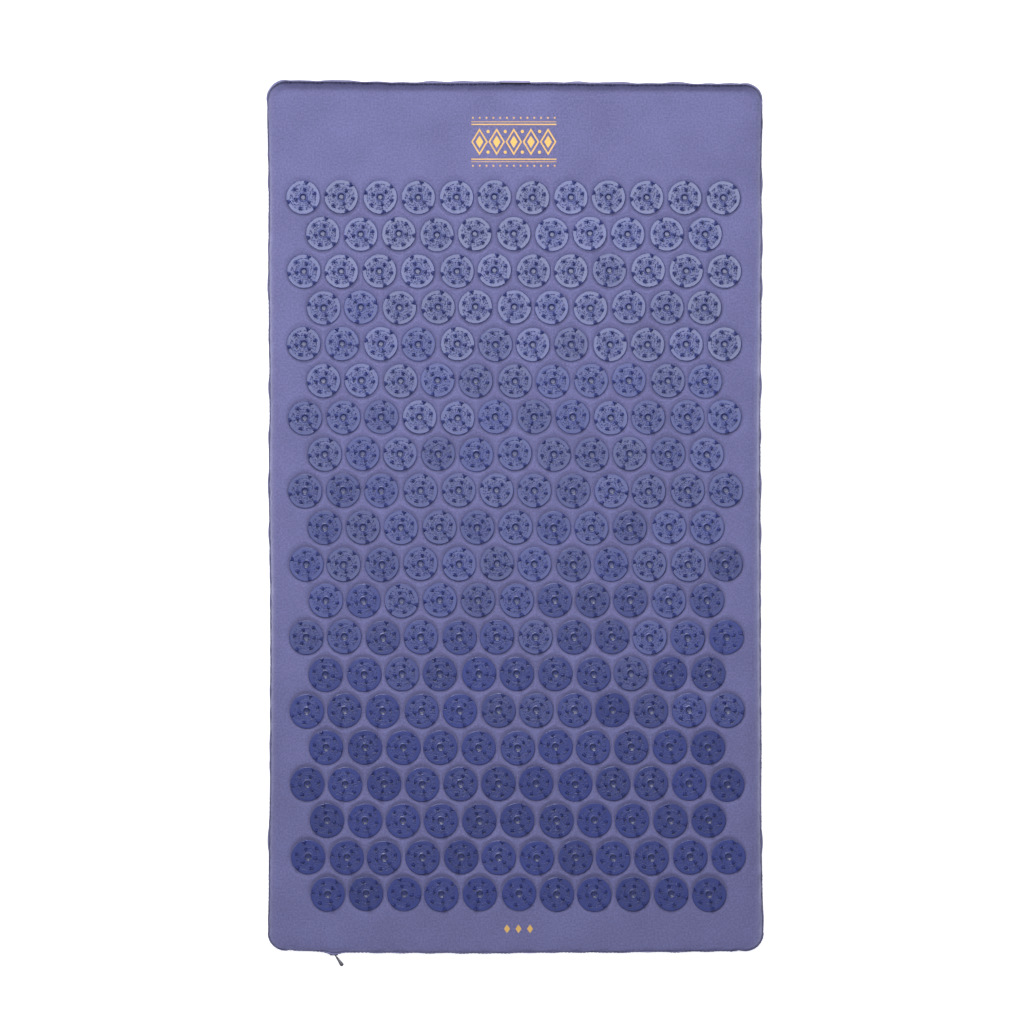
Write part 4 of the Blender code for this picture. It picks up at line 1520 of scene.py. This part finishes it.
class MATPIECES_OT_make_print(bpy.types.Operator):
    """Print a plain gold border of lozenges at the head end and three small lozenges at the foot end."""

    bl_idname = "matpieces.make_print"
    bl_label = "Make the gold print"

    def execute(self, context):
        sizes = context.scene.mat_print
        top = bpy.data.objects["cover_top_cloth"]
        surface = BVHTree.FromPolygons(
            [v.co for v in top.data.vertices], [tuple(p.vertices) for p in top.data.polygons]
        )
        gold = gold_finish(sizes)
        centre_x, centre_y = BORDER_CENTRE
        pitch = BORDER_PITCH
        shapes = []
        for k in range(-2, 3):
            x = centre_x + k * pitch
            outer, inner, core = (
                moved(lozenge(width, height), x, centre_y) for width, height in BORDER_LOZENGES
            )
            shapes += [(outer, inner), (core, None)]
        for k in range(-2, 2):
            for side in (-1, 1):
                x = centre_x + (k + 0.5) * pitch
                shapes.append((dot(x, centre_y + side * 0.0088, 0.0014), None))
        for side in (-1, 1):
            for shift, width in ((0.0148, 0.0010), (0.0170, 0.0005)):
                y = centre_y + side * shift
                shapes.append((bar(centre_x - 0.0362, centre_x + 0.0362, y, width, 24), None))
            for k in range(-6, 7):
                shapes.append((dot(centre_x + k * 0.0058, centre_y + side * 0.0204, 0.0008, 8), None))
        head = print_object("gold_border_head", shapes, surface, sizes.ink_height)
        shapes = [
            (moved(lozenge(0.0052, 0.0074), 0.0030 + k * 0.0098, -0.3510), None) for k in (-1, 0, 1)
        ]
        foot = print_object("gold_lozenges_foot", shapes, surface, sizes.ink_height)
        for piece in (head, foot):
            dress(piece, gold)
        made["print"] = [head, foot]
        return {"FINISHED"}


# The folded label's path: steps out and up from the seam, or from the side's widest line
LABEL_PATH = (
    ("seam", 0.0002, 0.0002), ("seam", 0.0011, 0.0016), ("seam", 0.0024, 0.0012),
    ("side", 0.0002, 0.0001), ("side", 0.0007, -0.0024), ("side", 0.0009, -0.0052),
    ("side", 0.0009, -0.0076), ("side", 0.0008, -0.0086), ("side", 0.0005, -0.0085),
    ("side", 0.0004, -0.0074), ("side", 0.0004, -0.0050), ("side", 0.0002, -0.0026),
    ("side", -0.0004, -0.0004), ("seam", 0.0018, 0.0009), ("seam", 0.0006, -0.0001),
)


class MATPIECES_OT_make_label(bpy.types.Operator):
    """Make the blank ribbon label, folded over at the head seam."""

    bl_idname = "matpieces.make_label"
    bl_label = "Make the label"

    def execute(self, context):
        low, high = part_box("side_label")
        ring = made["cover"]["rows"][:, : made["cover"]["band_count"]]
        seam = ring[0]
        near = np.abs(seam[:, 0]) + np.where(seam[:, 1] > 0.3, 0, 10)
        section = ring[:, int(near.argmin())]
        seam_y, seam_z = section[0, 1], section[0, 2]
        wide_y = section[:, 1].max()
        starts = {"seam": seam_y, "side": wide_y}
        path = [Vector((0, starts[start] + out, seam_z + up)) for start, out, up in LABEL_PATH]
        fine = []
        for first, second in zip(path, path[1:]):
            fine += [first, (first + second) / 2]
        fine.append(path[-1])
        columns = 14
        xs = np.linspace(low.x, high.x, columns)
        grid = np.array([[(x, p.y, p.z) for x in xs] for p in fine])
        grid[..., 1] += ripples(grid[..., 0], grid[..., 2], 45, 9.1) * 0.00012
        faces = grid_faces(numbered(*grid.shape[:2]), flip=True)
        label = mesh_object("side_label_ribbon", grid.reshape(-1, 3), faces, 180)
        length = along(grid[:, columns // 2])
        weave_uv(label, length, xs)
        modifier = label.modifiers.new("Thickness", "SOLIDIFY")
        modifier.thickness = 0.00028
        modifier.offset = 0
        dress(label, ribbon_finish(context.scene.mat_print), ["side_label"])
        return {"FINISHED"}


def coil_turn(sizes, depth, reach):
    """One turn of a flattened coil of wire, open at both ends so that turns join up."""
    steps = 10
    sides = 5
    radius = sizes.wire_radius
    half_y = depth / 2 - radius
    half_z = reach / 2 - radius
    path = []
    for k in range(steps + 1):
        angle = math.tau * k / steps
        bends = (math.cos(angle), math.sin(angle))
        bend_y, bend_z = (math.copysign(abs(bend) ** 0.75, bend) for bend in bends)
        path.append(Vector((sizes.tooth_pitch * k / steps, -half_y * bend_y, -half_z * bend_z)))
    advance = Vector((sizes.tooth_pitch, 0, 0))
    verts = []
    for k, point in enumerate(path):
        before = path[k - 1] if k else path[-2] - advance
        after = path[k + 1] if k < steps else path[1] + advance
        tangent = (after - before).normalized()
        side = Vector((1, 0, 0)) - tangent * tangent.x
        side.normalize()
        up = tangent.cross(side)
        for s in range(sides):
            angle = math.tau * s / sides
            verts.append(point + side * (radius * math.cos(angle)) + up * (radius * math.sin(angle)))
    return mesh_object("coil_turn", verts, tube_faces(steps + 1, sides), 180)


def repeat_tree():
    """Geometry Nodes: one shape repeated along a straight line."""
    tree = NodeGroup(
        "repeat_along_line",
        {
            "Shape": "NodeSocketObject", "Count": "NodeSocketInt", "Pitch": "NodeSocketFloat",
            "Start": "NodeSocketVector", "Turn": "NodeSocketVector", "Material": "NodeSocketMaterial",
        },
    )
    step = tree.node("ShaderNodeCombineXYZ", inputs={"X": tree.given("Pitch")})
    line = tree.node(
        "GeometryNodeMeshLine", {"mode": "OFFSET"},
        {"Count": tree.given("Count"), "Start Location": tree.given("Start"), "Offset": step},
    )
    return tree.end(tree.copies(line, tree.given_shape("Shape"), tree.turned(tree.given("Turn"))))


def stitch_tree():
    """Geometry Nodes: stitches at a pitch along a sewn line, each laid along it or across it."""
    tree = NodeGroup(
        "stitches",
        {
            "Stitch": "NodeSocketObject", "Pitch": "NodeSocketFloat", "Across": "NodeSocketFloat",
            "Material": "NodeSocketMaterial",
        },
    )
    curve = tree.node("GeometryNodeMeshToCurve", inputs={"Mesh": tree.given("Geometry")})
    points = tree.node(
        "GeometryNodeResampleCurve", {"mode": "LENGTH"}, {"Curve": curve, "Length": tree.given("Pitch")}
    )
    tangent = tree.node("GeometryNodeInputTangent")
    aligned = tree.node("FunctionNodeAlignRotationToVector", {"axis": "X"}, {"Vector": tangent})
    turn = tree.node("ShaderNodeCombineXYZ", inputs={"Z": tree.given("Across")})
    rotation = tree.node(
        "FunctionNodeRotateRotation", {"rotation_space": "LOCAL"}, {0: aligned, 1: tree.turned(turn)}
    )
    return tree.end(tree.copies(points, tree.given_shape("Stitch"), rotation))


def stitch_object(length, radius):
    """One stitch: a short thread that dives into the cloth at both ends."""
    sections = (
        (-0.5, 0.35, -1.1), (-0.40, 0.9, -0.1), (0, 1, 0.25), (0.40, 0.9, -0.1), (0.5, 0.35, -1.1),
    )
    sides = 5
    verts = []
    for share, wide, up in sections:
        for s in range(sides):
            angle = math.tau * s / sides
            y = wide * radius * math.cos(angle)
            verts.append((share * length, y, up * radius + wide * radius * math.sin(angle)))
    faces = [(a, d, c, b) for a, b, c, d in tube_faces(len(sections), sides)]
    faces.append(tuple(range(sides)))
    faces.append(tuple((len(sections) - 1) * sides + s for s in reversed(range(sides))))
    return face_outward(mesh_object("stitch", verts, faces), 60)


class MATPIECES_OT_make_stitches(bpy.types.Operator):
    """Sew the lines of stitches: one along each strip beside the zip, and those deep in the seams."""

    bl_idname = "matpieces.make_stitches"
    bl_label = "Make the stitches"

    def execute(self, context):
        cover = context.scene.mat_cover
        shape = made["cover"]
        foot = made["foot"]
        thread = thread_finish(cover.thread_colour)
        tree = stitch_tree()
        long_stitch = stitch_object(cover.stitch_pitch * 0.80, 0.00024)
        short_stitch = stitch_object(0.0019, 0.00020)
        lines = []
        for name, row, next_row, share in (
            ("zip_stitches_upper", 5, 4, 0.75), ("zip_stitches_lower", 7, 8, 0.75),
        ):
            path = foot[row] + (foot[next_row] - foot[row]) * share
            path[:, 1] -= 0.00012
            lines.append((name, path[2:-2], False, long_stitch, cover.stitch_pitch, 0.0))
        rows = shape["rows"]
        out = np.concatenate([shape["out"], np.zeros((len(shape["out"]), 1))], axis=1)
        for name, row, lift in (
            ("seam_stitches_top", 0, 0.00045), ("seam_stitches_bottom", -1, -0.00035),
        ):
            path = rows[row].copy() + out * 0.0002
            path[:, 2] += lift
            lines.append((name, path, True, short_stitch, cover.stitch_pitch * 1.2, math.pi / 2))
        for name, path, closed, stitch, pitch, across in lines:
            edges = [(k, k + 1) for k in range(len(path) - 1)]
            if closed:
                edges.append((len(path) - 1, 0))
            line = seed_object(name, path, edges)
            values = {"Stitch": stitch, "Pitch": pitch, "Across": across, "Material": thread}
            run_nodes(line, tree, values)
            dress(line, thread)
        remove(long_stitch, short_stitch)
        return {"FINISHED"}


def swept(name, section, xs, wave=0.0):
    """A closed section of y and z swept along x, with its ends closed."""
    verts = []
    sides = len(section)
    for x in xs:
        sway = wave * noise.noise(Vector((x * 40, 0.3, 1.7)))
        verts += [(x, y + sway, z) for y, z in section]
    faces = tube_faces(len(xs), sides)
    faces.append(tuple(reversed(range(sides))))
    faces.append(tuple((len(xs) - 1) * sides + s for s in range(sides)))
    return face_outward(mesh_object(name, verts, faces), 50)


class MATPIECES_OT_make_zip(bpy.types.Operator):
    """Make the zip's two tapes, its two coils and its stops."""

    bl_idname = "matpieces.make_zip"
    bl_label = "Make the zip"

    def execute(self, context):
        sizes = context.scene.mat_zip
        tape_cloth = tape_finish(sizes)
        nylon = coil_finish(sizes)
        metal = metal_finish(sizes)
        made["metal"] = metal
        for side, half in ((1, "upper"), (-1, "lower")):
            low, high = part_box("zip_tape_" + half)
            near = low.z if side > 0 else high.z
            far = high.z if side > 0 else low.z
            front, back = low.y, high.y
            section = [
                (front, near + side * 0.0002), (front - 0.00022, near + side * 0.0006),
                (front - 0.00022, near + side * 0.0011), (front, near + side * 0.0016),
                (front, far), (back, far), (back, near + side * 0.0002),
                ((front + back) / 2, near),
            ]
            xs = np.linspace(low.x, high.x, 90)
            tape = swept("zip_tape_" + half + "_woven", section, xs, wave=0.00012)
            dress(tape, tape_cloth, ["zip_tape_" + half])
            made["tape_" + half] = tape

            low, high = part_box("zip_coil_" + half)
            middle = (LOWER_HIGH.z + UPPER_LOW.z) / 2
            inner = middle + side * 0.00034
            outer = (high.z if side > 0 else low.z) + side * 0.00012
            turn = coil_turn(sizes, high.y - low.y, abs(outer - inner))
            length = high.x - low.x
            count = int(length / sizes.tooth_pitch) - 1
            start = low.x + (length - count * sizes.tooth_pitch) / 2
            offset = 0.0 if side > 0 else sizes.tooth_pitch / 2
            place = (start + offset, (low.y + high.y) / 2, (inner + outer) / 2)
            turned = (0.0, 0.0, 0.0) if side > 0 else (math.pi, 0.0, 0.0)
            coil = seed_object("zip_coil_" + half + "_nylon")
            run_nodes(
                coil, repeat_tree(),
                {
                    "Shape": turn, "Count": count, "Pitch": sizes.tooth_pitch, "Start": place,
                    "Turn": turned, "Material": nylon,
                },
            )
            face_outward(coil, 180, close=True)
            remove(turn)
            dress(coil, nylon, ["zip_coil_" + half])
            made["coil_" + half] = coil
        for name in ("zip_stop_left", "zip_stop_right"):
            dress(rounded_copy(name, 0.00028), metal, [name])
        return {"FINISHED"}


def rounded_copy(node, width):
    """A copy of a CAD node with its edges rounded."""
    source = frame["nodes"][node]
    bm = bmesh.new()
    bm.from_mesh(source.data)
    bmesh.ops.remove_doubles(bm, verts=bm.verts, dist=1e-6)
    bmesh.ops.dissolve_limit(
        bm, angle_limit=math.radians(1), verts=bm.verts, edges=bm.edges, delimit={"NORMAL"}
    )
    bmesh.ops.recalc_face_normals(bm, faces=bm.faces)
    obj = bmesh_object(node + "_cast", bm)
    bevel = obj.modifiers.new("Rounding", "BEVEL")
    bevel.width = width
    bevel.segments = 3
    bevel.limit_method = "ANGLE"
    bevel.angle_limit = math.radians(25)
    bevel.harden_normals = False
    smooth(plain_mesh(obj), 40)
    return obj


def join_rings(bm, rings):
    """Faces between each ring of points and the next."""
    for first, second in zip(rings, rings[1:]):
        for s, vert in enumerate(first):
            t = (s + 1) % len(first)
            bm.faces.new((vert, first[t], second[t], second[s]))


class MATPIECES_OT_make_slider(bpy.types.Operator):
    """Make the slider and its drop-shaped pull."""

    bl_idname = "matpieces.make_slider"
    bl_label = "Make the slider and the pull"

    def execute(self, context):
        metal = made["metal"]
        slider = rounded_copy("zip_slider", 0.00022)
        dress(slider, metal, ["zip_slider"], body="slider")

        bm = bmesh.new()
        half_width = 0.00155
        reach = 0.0056
        corner = 0.0009
        centre_line = []
        for x, z, start in (
            (reach - corner, half_width - corner, 0), (corner, half_width - corner, 90),
            (corner, -half_width + corner, 180), (reach - corner, -half_width + corner, 270),
        ):
            for k in range(5):
                turn = math.radians(start + 90 * k / 4)
                bend = Vector((x + corner * math.cos(turn), 0, z + corner * math.sin(turn)))
                centre_line.append(bend)
        sides = 10
        rings = []
        count = len(centre_line)
        side = Vector((0, 1, 0))
        for k, point in enumerate(centre_line):
            up = (centre_line[(k + 1) % count] - centre_line[k - 1]).normalized().cross(side)
            ring = []
            for s in range(sides):
                turn = math.tau * s / sides
                place = point + side * (0.00046 * math.cos(turn)) + up * (0.00050 * math.sin(turn))
                ring.append(bm.verts.new(place))
            rings.append(ring)
        join_rings(bm, rings + rings[:1])
        tab_start, tab_end = 0.0041, 0.0132
        profile = (
            (0.0, 0.00060), (0.03, 0.00092), (0.15, 0.00104), (0.35, 0.00130), (0.55, 0.00162),
            (0.72, 0.00192), (0.84, 0.00198), (0.92, 0.00176), (0.97, 0.00132), (0.995, 0.0006),
        )
        rings = []
        sides = 20
        for share, radius in profile:
            x = tab_start + (tab_end - tab_start) * share
            ring = []
            for s in range(sides):
                turn = math.tau * s / sides
                flat = 1 - 0.15 * abs(math.cos(turn)) ** 3 * min(1, share * 3)
                ring.append(
                    bm.verts.new((x, radius * flat * math.cos(turn), radius * 0.85 * math.sin(turn)))
                )
            rings.append(ring)
        join_rings(bm, rings)
        bm.faces.new(rings[0])
        bm.faces.new(reversed(rings[-1]))
        bmesh.ops.recalc_face_normals(bm, faces=bm.faces)
        bm.transform(Matrix.Translation(PULL_PIVOT) @ Matrix.Rotation(PULL_TURN, 4, "Z"))
        pull = bmesh_object("zip_pull_drop", bm, 50)
        dress(pull, metal, ["zip_pull"], body="pull")
        return {"FINISHED"}


class MATPIECES_OT_declare_cloth(bpy.types.Operator):
    """Measure the side band's height from seam to seam and gather the print with the top seam's stitches,
    keeping neither.
    """

    bl_idname = "matpieces.declare_cloth"
    bl_label = "Declare the cloth pieces"

    def execute(self, context):
        shape = made["cover"]
        rows = shape["rows"]
        count = shape["band_count"]
        objects = bpy.data.objects
        climb = float(along(rows[:, count // 2])[-1])
        made["print"] + [objects["seam_stitches_top"]]
        return {"FINISHED"}


# Each lamp's name, width, length, place, aim, radiance and colour
LAMPS = (
    ("head_softbox", 1.00, 0.45, (-0.05, 0.395, 1.2), (-0.05, 0.395, 0.0), 5.8, (0.97, 1.0, 1.06)),
    ("middle_softbox", 1.00, 0.29, (-0.05, 0.025, 1.2), (-0.05, 0.025, 0.0), 2.3, (0.97, 1.0, 1.06)),
    ("head_wall", 1.4, 0.9, (-0.1, 1.6, 1.1), (0.0, -0.1, 0.0), 1.4, (1.0, 1.0, 1.0)),
    ("left_softbox", 1.3, 1.3, (-2.0, 0.4, 1.6), (0.0, 0.0, 0.0), 1.1, (1.0, 1.0, 1.0)),
    ("key_lamp", 1.3, 0.25, (-0.4, 1.3, 1.5), (0.0, 0.0, 0.0), 8.0, (1.0, 1.0, 1.0)),
    ("foot_lamp", 1.2, 0.25, (0.0, -1.0, 0.32), (0.0, -0.2, 0.0), 1.6, (0.90, 0.96, 1.15)),
)
# The middle of the picture on the floor, and the height at which its scale holds
VIEW_CENTRE = (-0.00256, 0.00384)
VIEW_PLANE = 0.015


class MATPIECES_OT_make_stage(bpy.types.Operator):
    """Set up the floor, the lamps, the world and the camera over the mat."""

    bl_idname = "matpieces.make_stage"
    bl_label = "Make the stage"

    def execute(self, context):
        scene = context.scene
        studio = scene.mat_studio
        ground = [(x, y, -0.0002) for x, y in ((-6, -6), (6, -6), (6, 6), (-6, 6))]
        floor = mesh_object("floor", ground, [(0, 1, 2, 3)])
        floor.data.materials.append(floor_finish())

        for values in LAMPS:
            self.lamp(*values)

        world = bpy.data.worlds.new("studio")
        world.use_nodes = True
        tree = NodeMaker(world.node_tree)
        world.node_tree.nodes.clear()
        path = tree.node("ShaderNodeLightPath", output="Is Camera Ray")
        seen = path.math("MAXIMUM", path, path.other("Is Transmission Ray"))
        shiny = path.other("Is Glossy Ray")
        direction = tree.node("ShaderNodeTexCoord", output="Generated")
        y = tree.node("ShaderNodeSeparateXYZ", inputs={0: direction}).other("Y")
        dome = tree.node(
            "ShaderNodeMapRange", {"interpolation_type": "SMOOTHSTEP"},
            {"Value": y, "From Min": -0.5, "From Max": 0.6, "To Min": 0.36, "To Max": 0.86},
        )
        strength = seen + (1 - seen) * (shiny * dome + (1 - shiny) * 0.12)
        backdrop = tree.node(
            "ShaderNodeBackground", inputs={"Color": (1.0, 1.0, 1.0, 1.0), "Strength": strength}
        )
        tree.node("ShaderNodeOutputWorld", inputs={"Surface": backdrop})
        scene.world = world
        scene.view_settings.view_transform = "Standard"

        camera = bpy.data.cameras.new("overhead_camera")
        camera.clip_end = 100
        camera.angle = 2 * math.atan(studio.view_height / 2 / (studio.camera_height - VIEW_PLANE))
        holder = bpy.data.objects.new("overhead_camera", camera)
        holder.location = (*VIEW_CENTRE, studio.camera_height)
        scene.collection.objects.link(holder)
        scene.camera = holder
        return {"FINISHED"}

    def lamp(self, name, width, length, place, aim, radiance, colour):
        """A rectangular softbox with a given radiance, in watts per square metre and steradian."""
        light = bpy.data.lights.new(name, "AREA")
        light.shape = "RECTANGLE"
        light.size = width
        light.size_y = length
        light.energy = radiance * width * length * math.pi
        light.color = colour
        lamp = bpy.data.objects.new(name, light)
        lamp.location = place
        toward = Vector(aim) - Vector(place)
        lamp.rotation_euler = toward.to_track_quat("-Z", "Y").to_euler()
        lamp.visible_camera = False
        bpy.context.scene.collection.objects.link(lamp)
        return lamp


def floor_finish():
    """A white floor that shows the mat's soft shadow."""
    material = bpy.data.materials.new("white_floor")
    material.use_nodes = True
    tree = NodeMaker(material.node_tree)
    material.node_tree.nodes.clear()
    path = tree.node("ShaderNodeLightPath", output="Is Camera Ray")
    seen = path.math("MAXIMUM", path, path.other("Is Glossy Ray"))
    seen = path.math("MAXIMUM", seen, path.other("Is Transmission Ray"))
    place = tree.node("ShaderNodeTexCoord", output="Object")
    grain = tree.node("ShaderNodeTexNoise", inputs={"Vector": place, "Scale": 60.0})
    tone = tree.node(
        "ShaderNodeMix", {"data_type": "RGBA"},
        {0: grain, 6: (0.70, 0.70, 0.70, 1.0), 7: (0.72, 0.72, 0.72, 1.0)}, output=2,
    )
    matt = tree.node("ShaderNodeBsdfDiffuse", inputs={"Color": tone})
    glow = tree.node("ShaderNodeEmission", inputs={"Color": (1.0, 1.0, 1.0, 1.0), "Strength": 0.88})
    both = tree.node("ShaderNodeAddShader", inputs={0: matt, 1: glow})
    shader = tree.node("ShaderNodeMixShader", inputs={0: seen, 1: matt, 2: both})
    tree.node("ShaderNodeOutputMaterial", inputs={"Surface": shader})
    return material


class MATPIECES_PT_panel(bpy.types.Panel):
    """Lists the mat's pieces in the sidebar."""

    bl_label = "Acupressure mat"
    bl_space_type = "VIEW_3D"
    bl_region_type = "UI"
    bl_category = "Mat"

    def draw(self, context):
        for operator in OPERATORS:
            self.layout.operator(operator.bl_idname)


GROUPS = {
    "mat_cover": MatCoverSizes,
    "mat_discs": MatDiscSizes,
    "mat_print": MatPrintSizes,
    "mat_zip": MatZipSizes,
    "mat_studio": MatStudioSettings,
}
OPERATORS = (
    MATPIECES_OT_make_stage,
    MATPIECES_OT_make_cover,
    MATPIECES_OT_make_foam,
    MATPIECES_OT_make_discs,
    MATPIECES_OT_make_print,
    MATPIECES_OT_make_stitches,
    MATPIECES_OT_make_label,
    MATPIECES_OT_make_zip,
    MATPIECES_OT_make_slider,
    MATPIECES_OT_declare_cloth,
)


def register():
    for name, group in GROUPS.items():
        bpy.utils.register_class(group)
        setattr(bpy.types.Scene, name, PointerProperty(type=group))
    for operator in OPERATORS:
        bpy.utils.register_class(operator)
    bpy.utils.register_class(MATPIECES_PT_panel)


def unregister():
    bpy.utils.unregister_class(MATPIECES_PT_panel)
    for operator in reversed(OPERATORS):
        bpy.utils.unregister_class(operator)
    for name, group in reversed(GROUPS.items()):
        delattr(bpy.types.Scene, name)
        bpy.utils.unregister_class(group)


def corners(box):
    """A box's two corners as plain lists."""
    return [list(corner) for corner in box]


def main():
    register()
    bpy.ops.matpieces.make_stage()
    bpy.ops.matpieces.make_cover()
    bpy.ops.matpieces.make_foam()
    bpy.ops.matpieces.make_discs()
    bpy.ops.matpieces.make_print()
    bpy.ops.matpieces.make_stitches()
    bpy.ops.matpieces.make_label()
    bpy.ops.matpieces.make_zip()
    bpy.ops.matpieces.make_slider()
    bpy.ops.matpieces.declare_cloth()


if __name__ == "__main__":
    main()
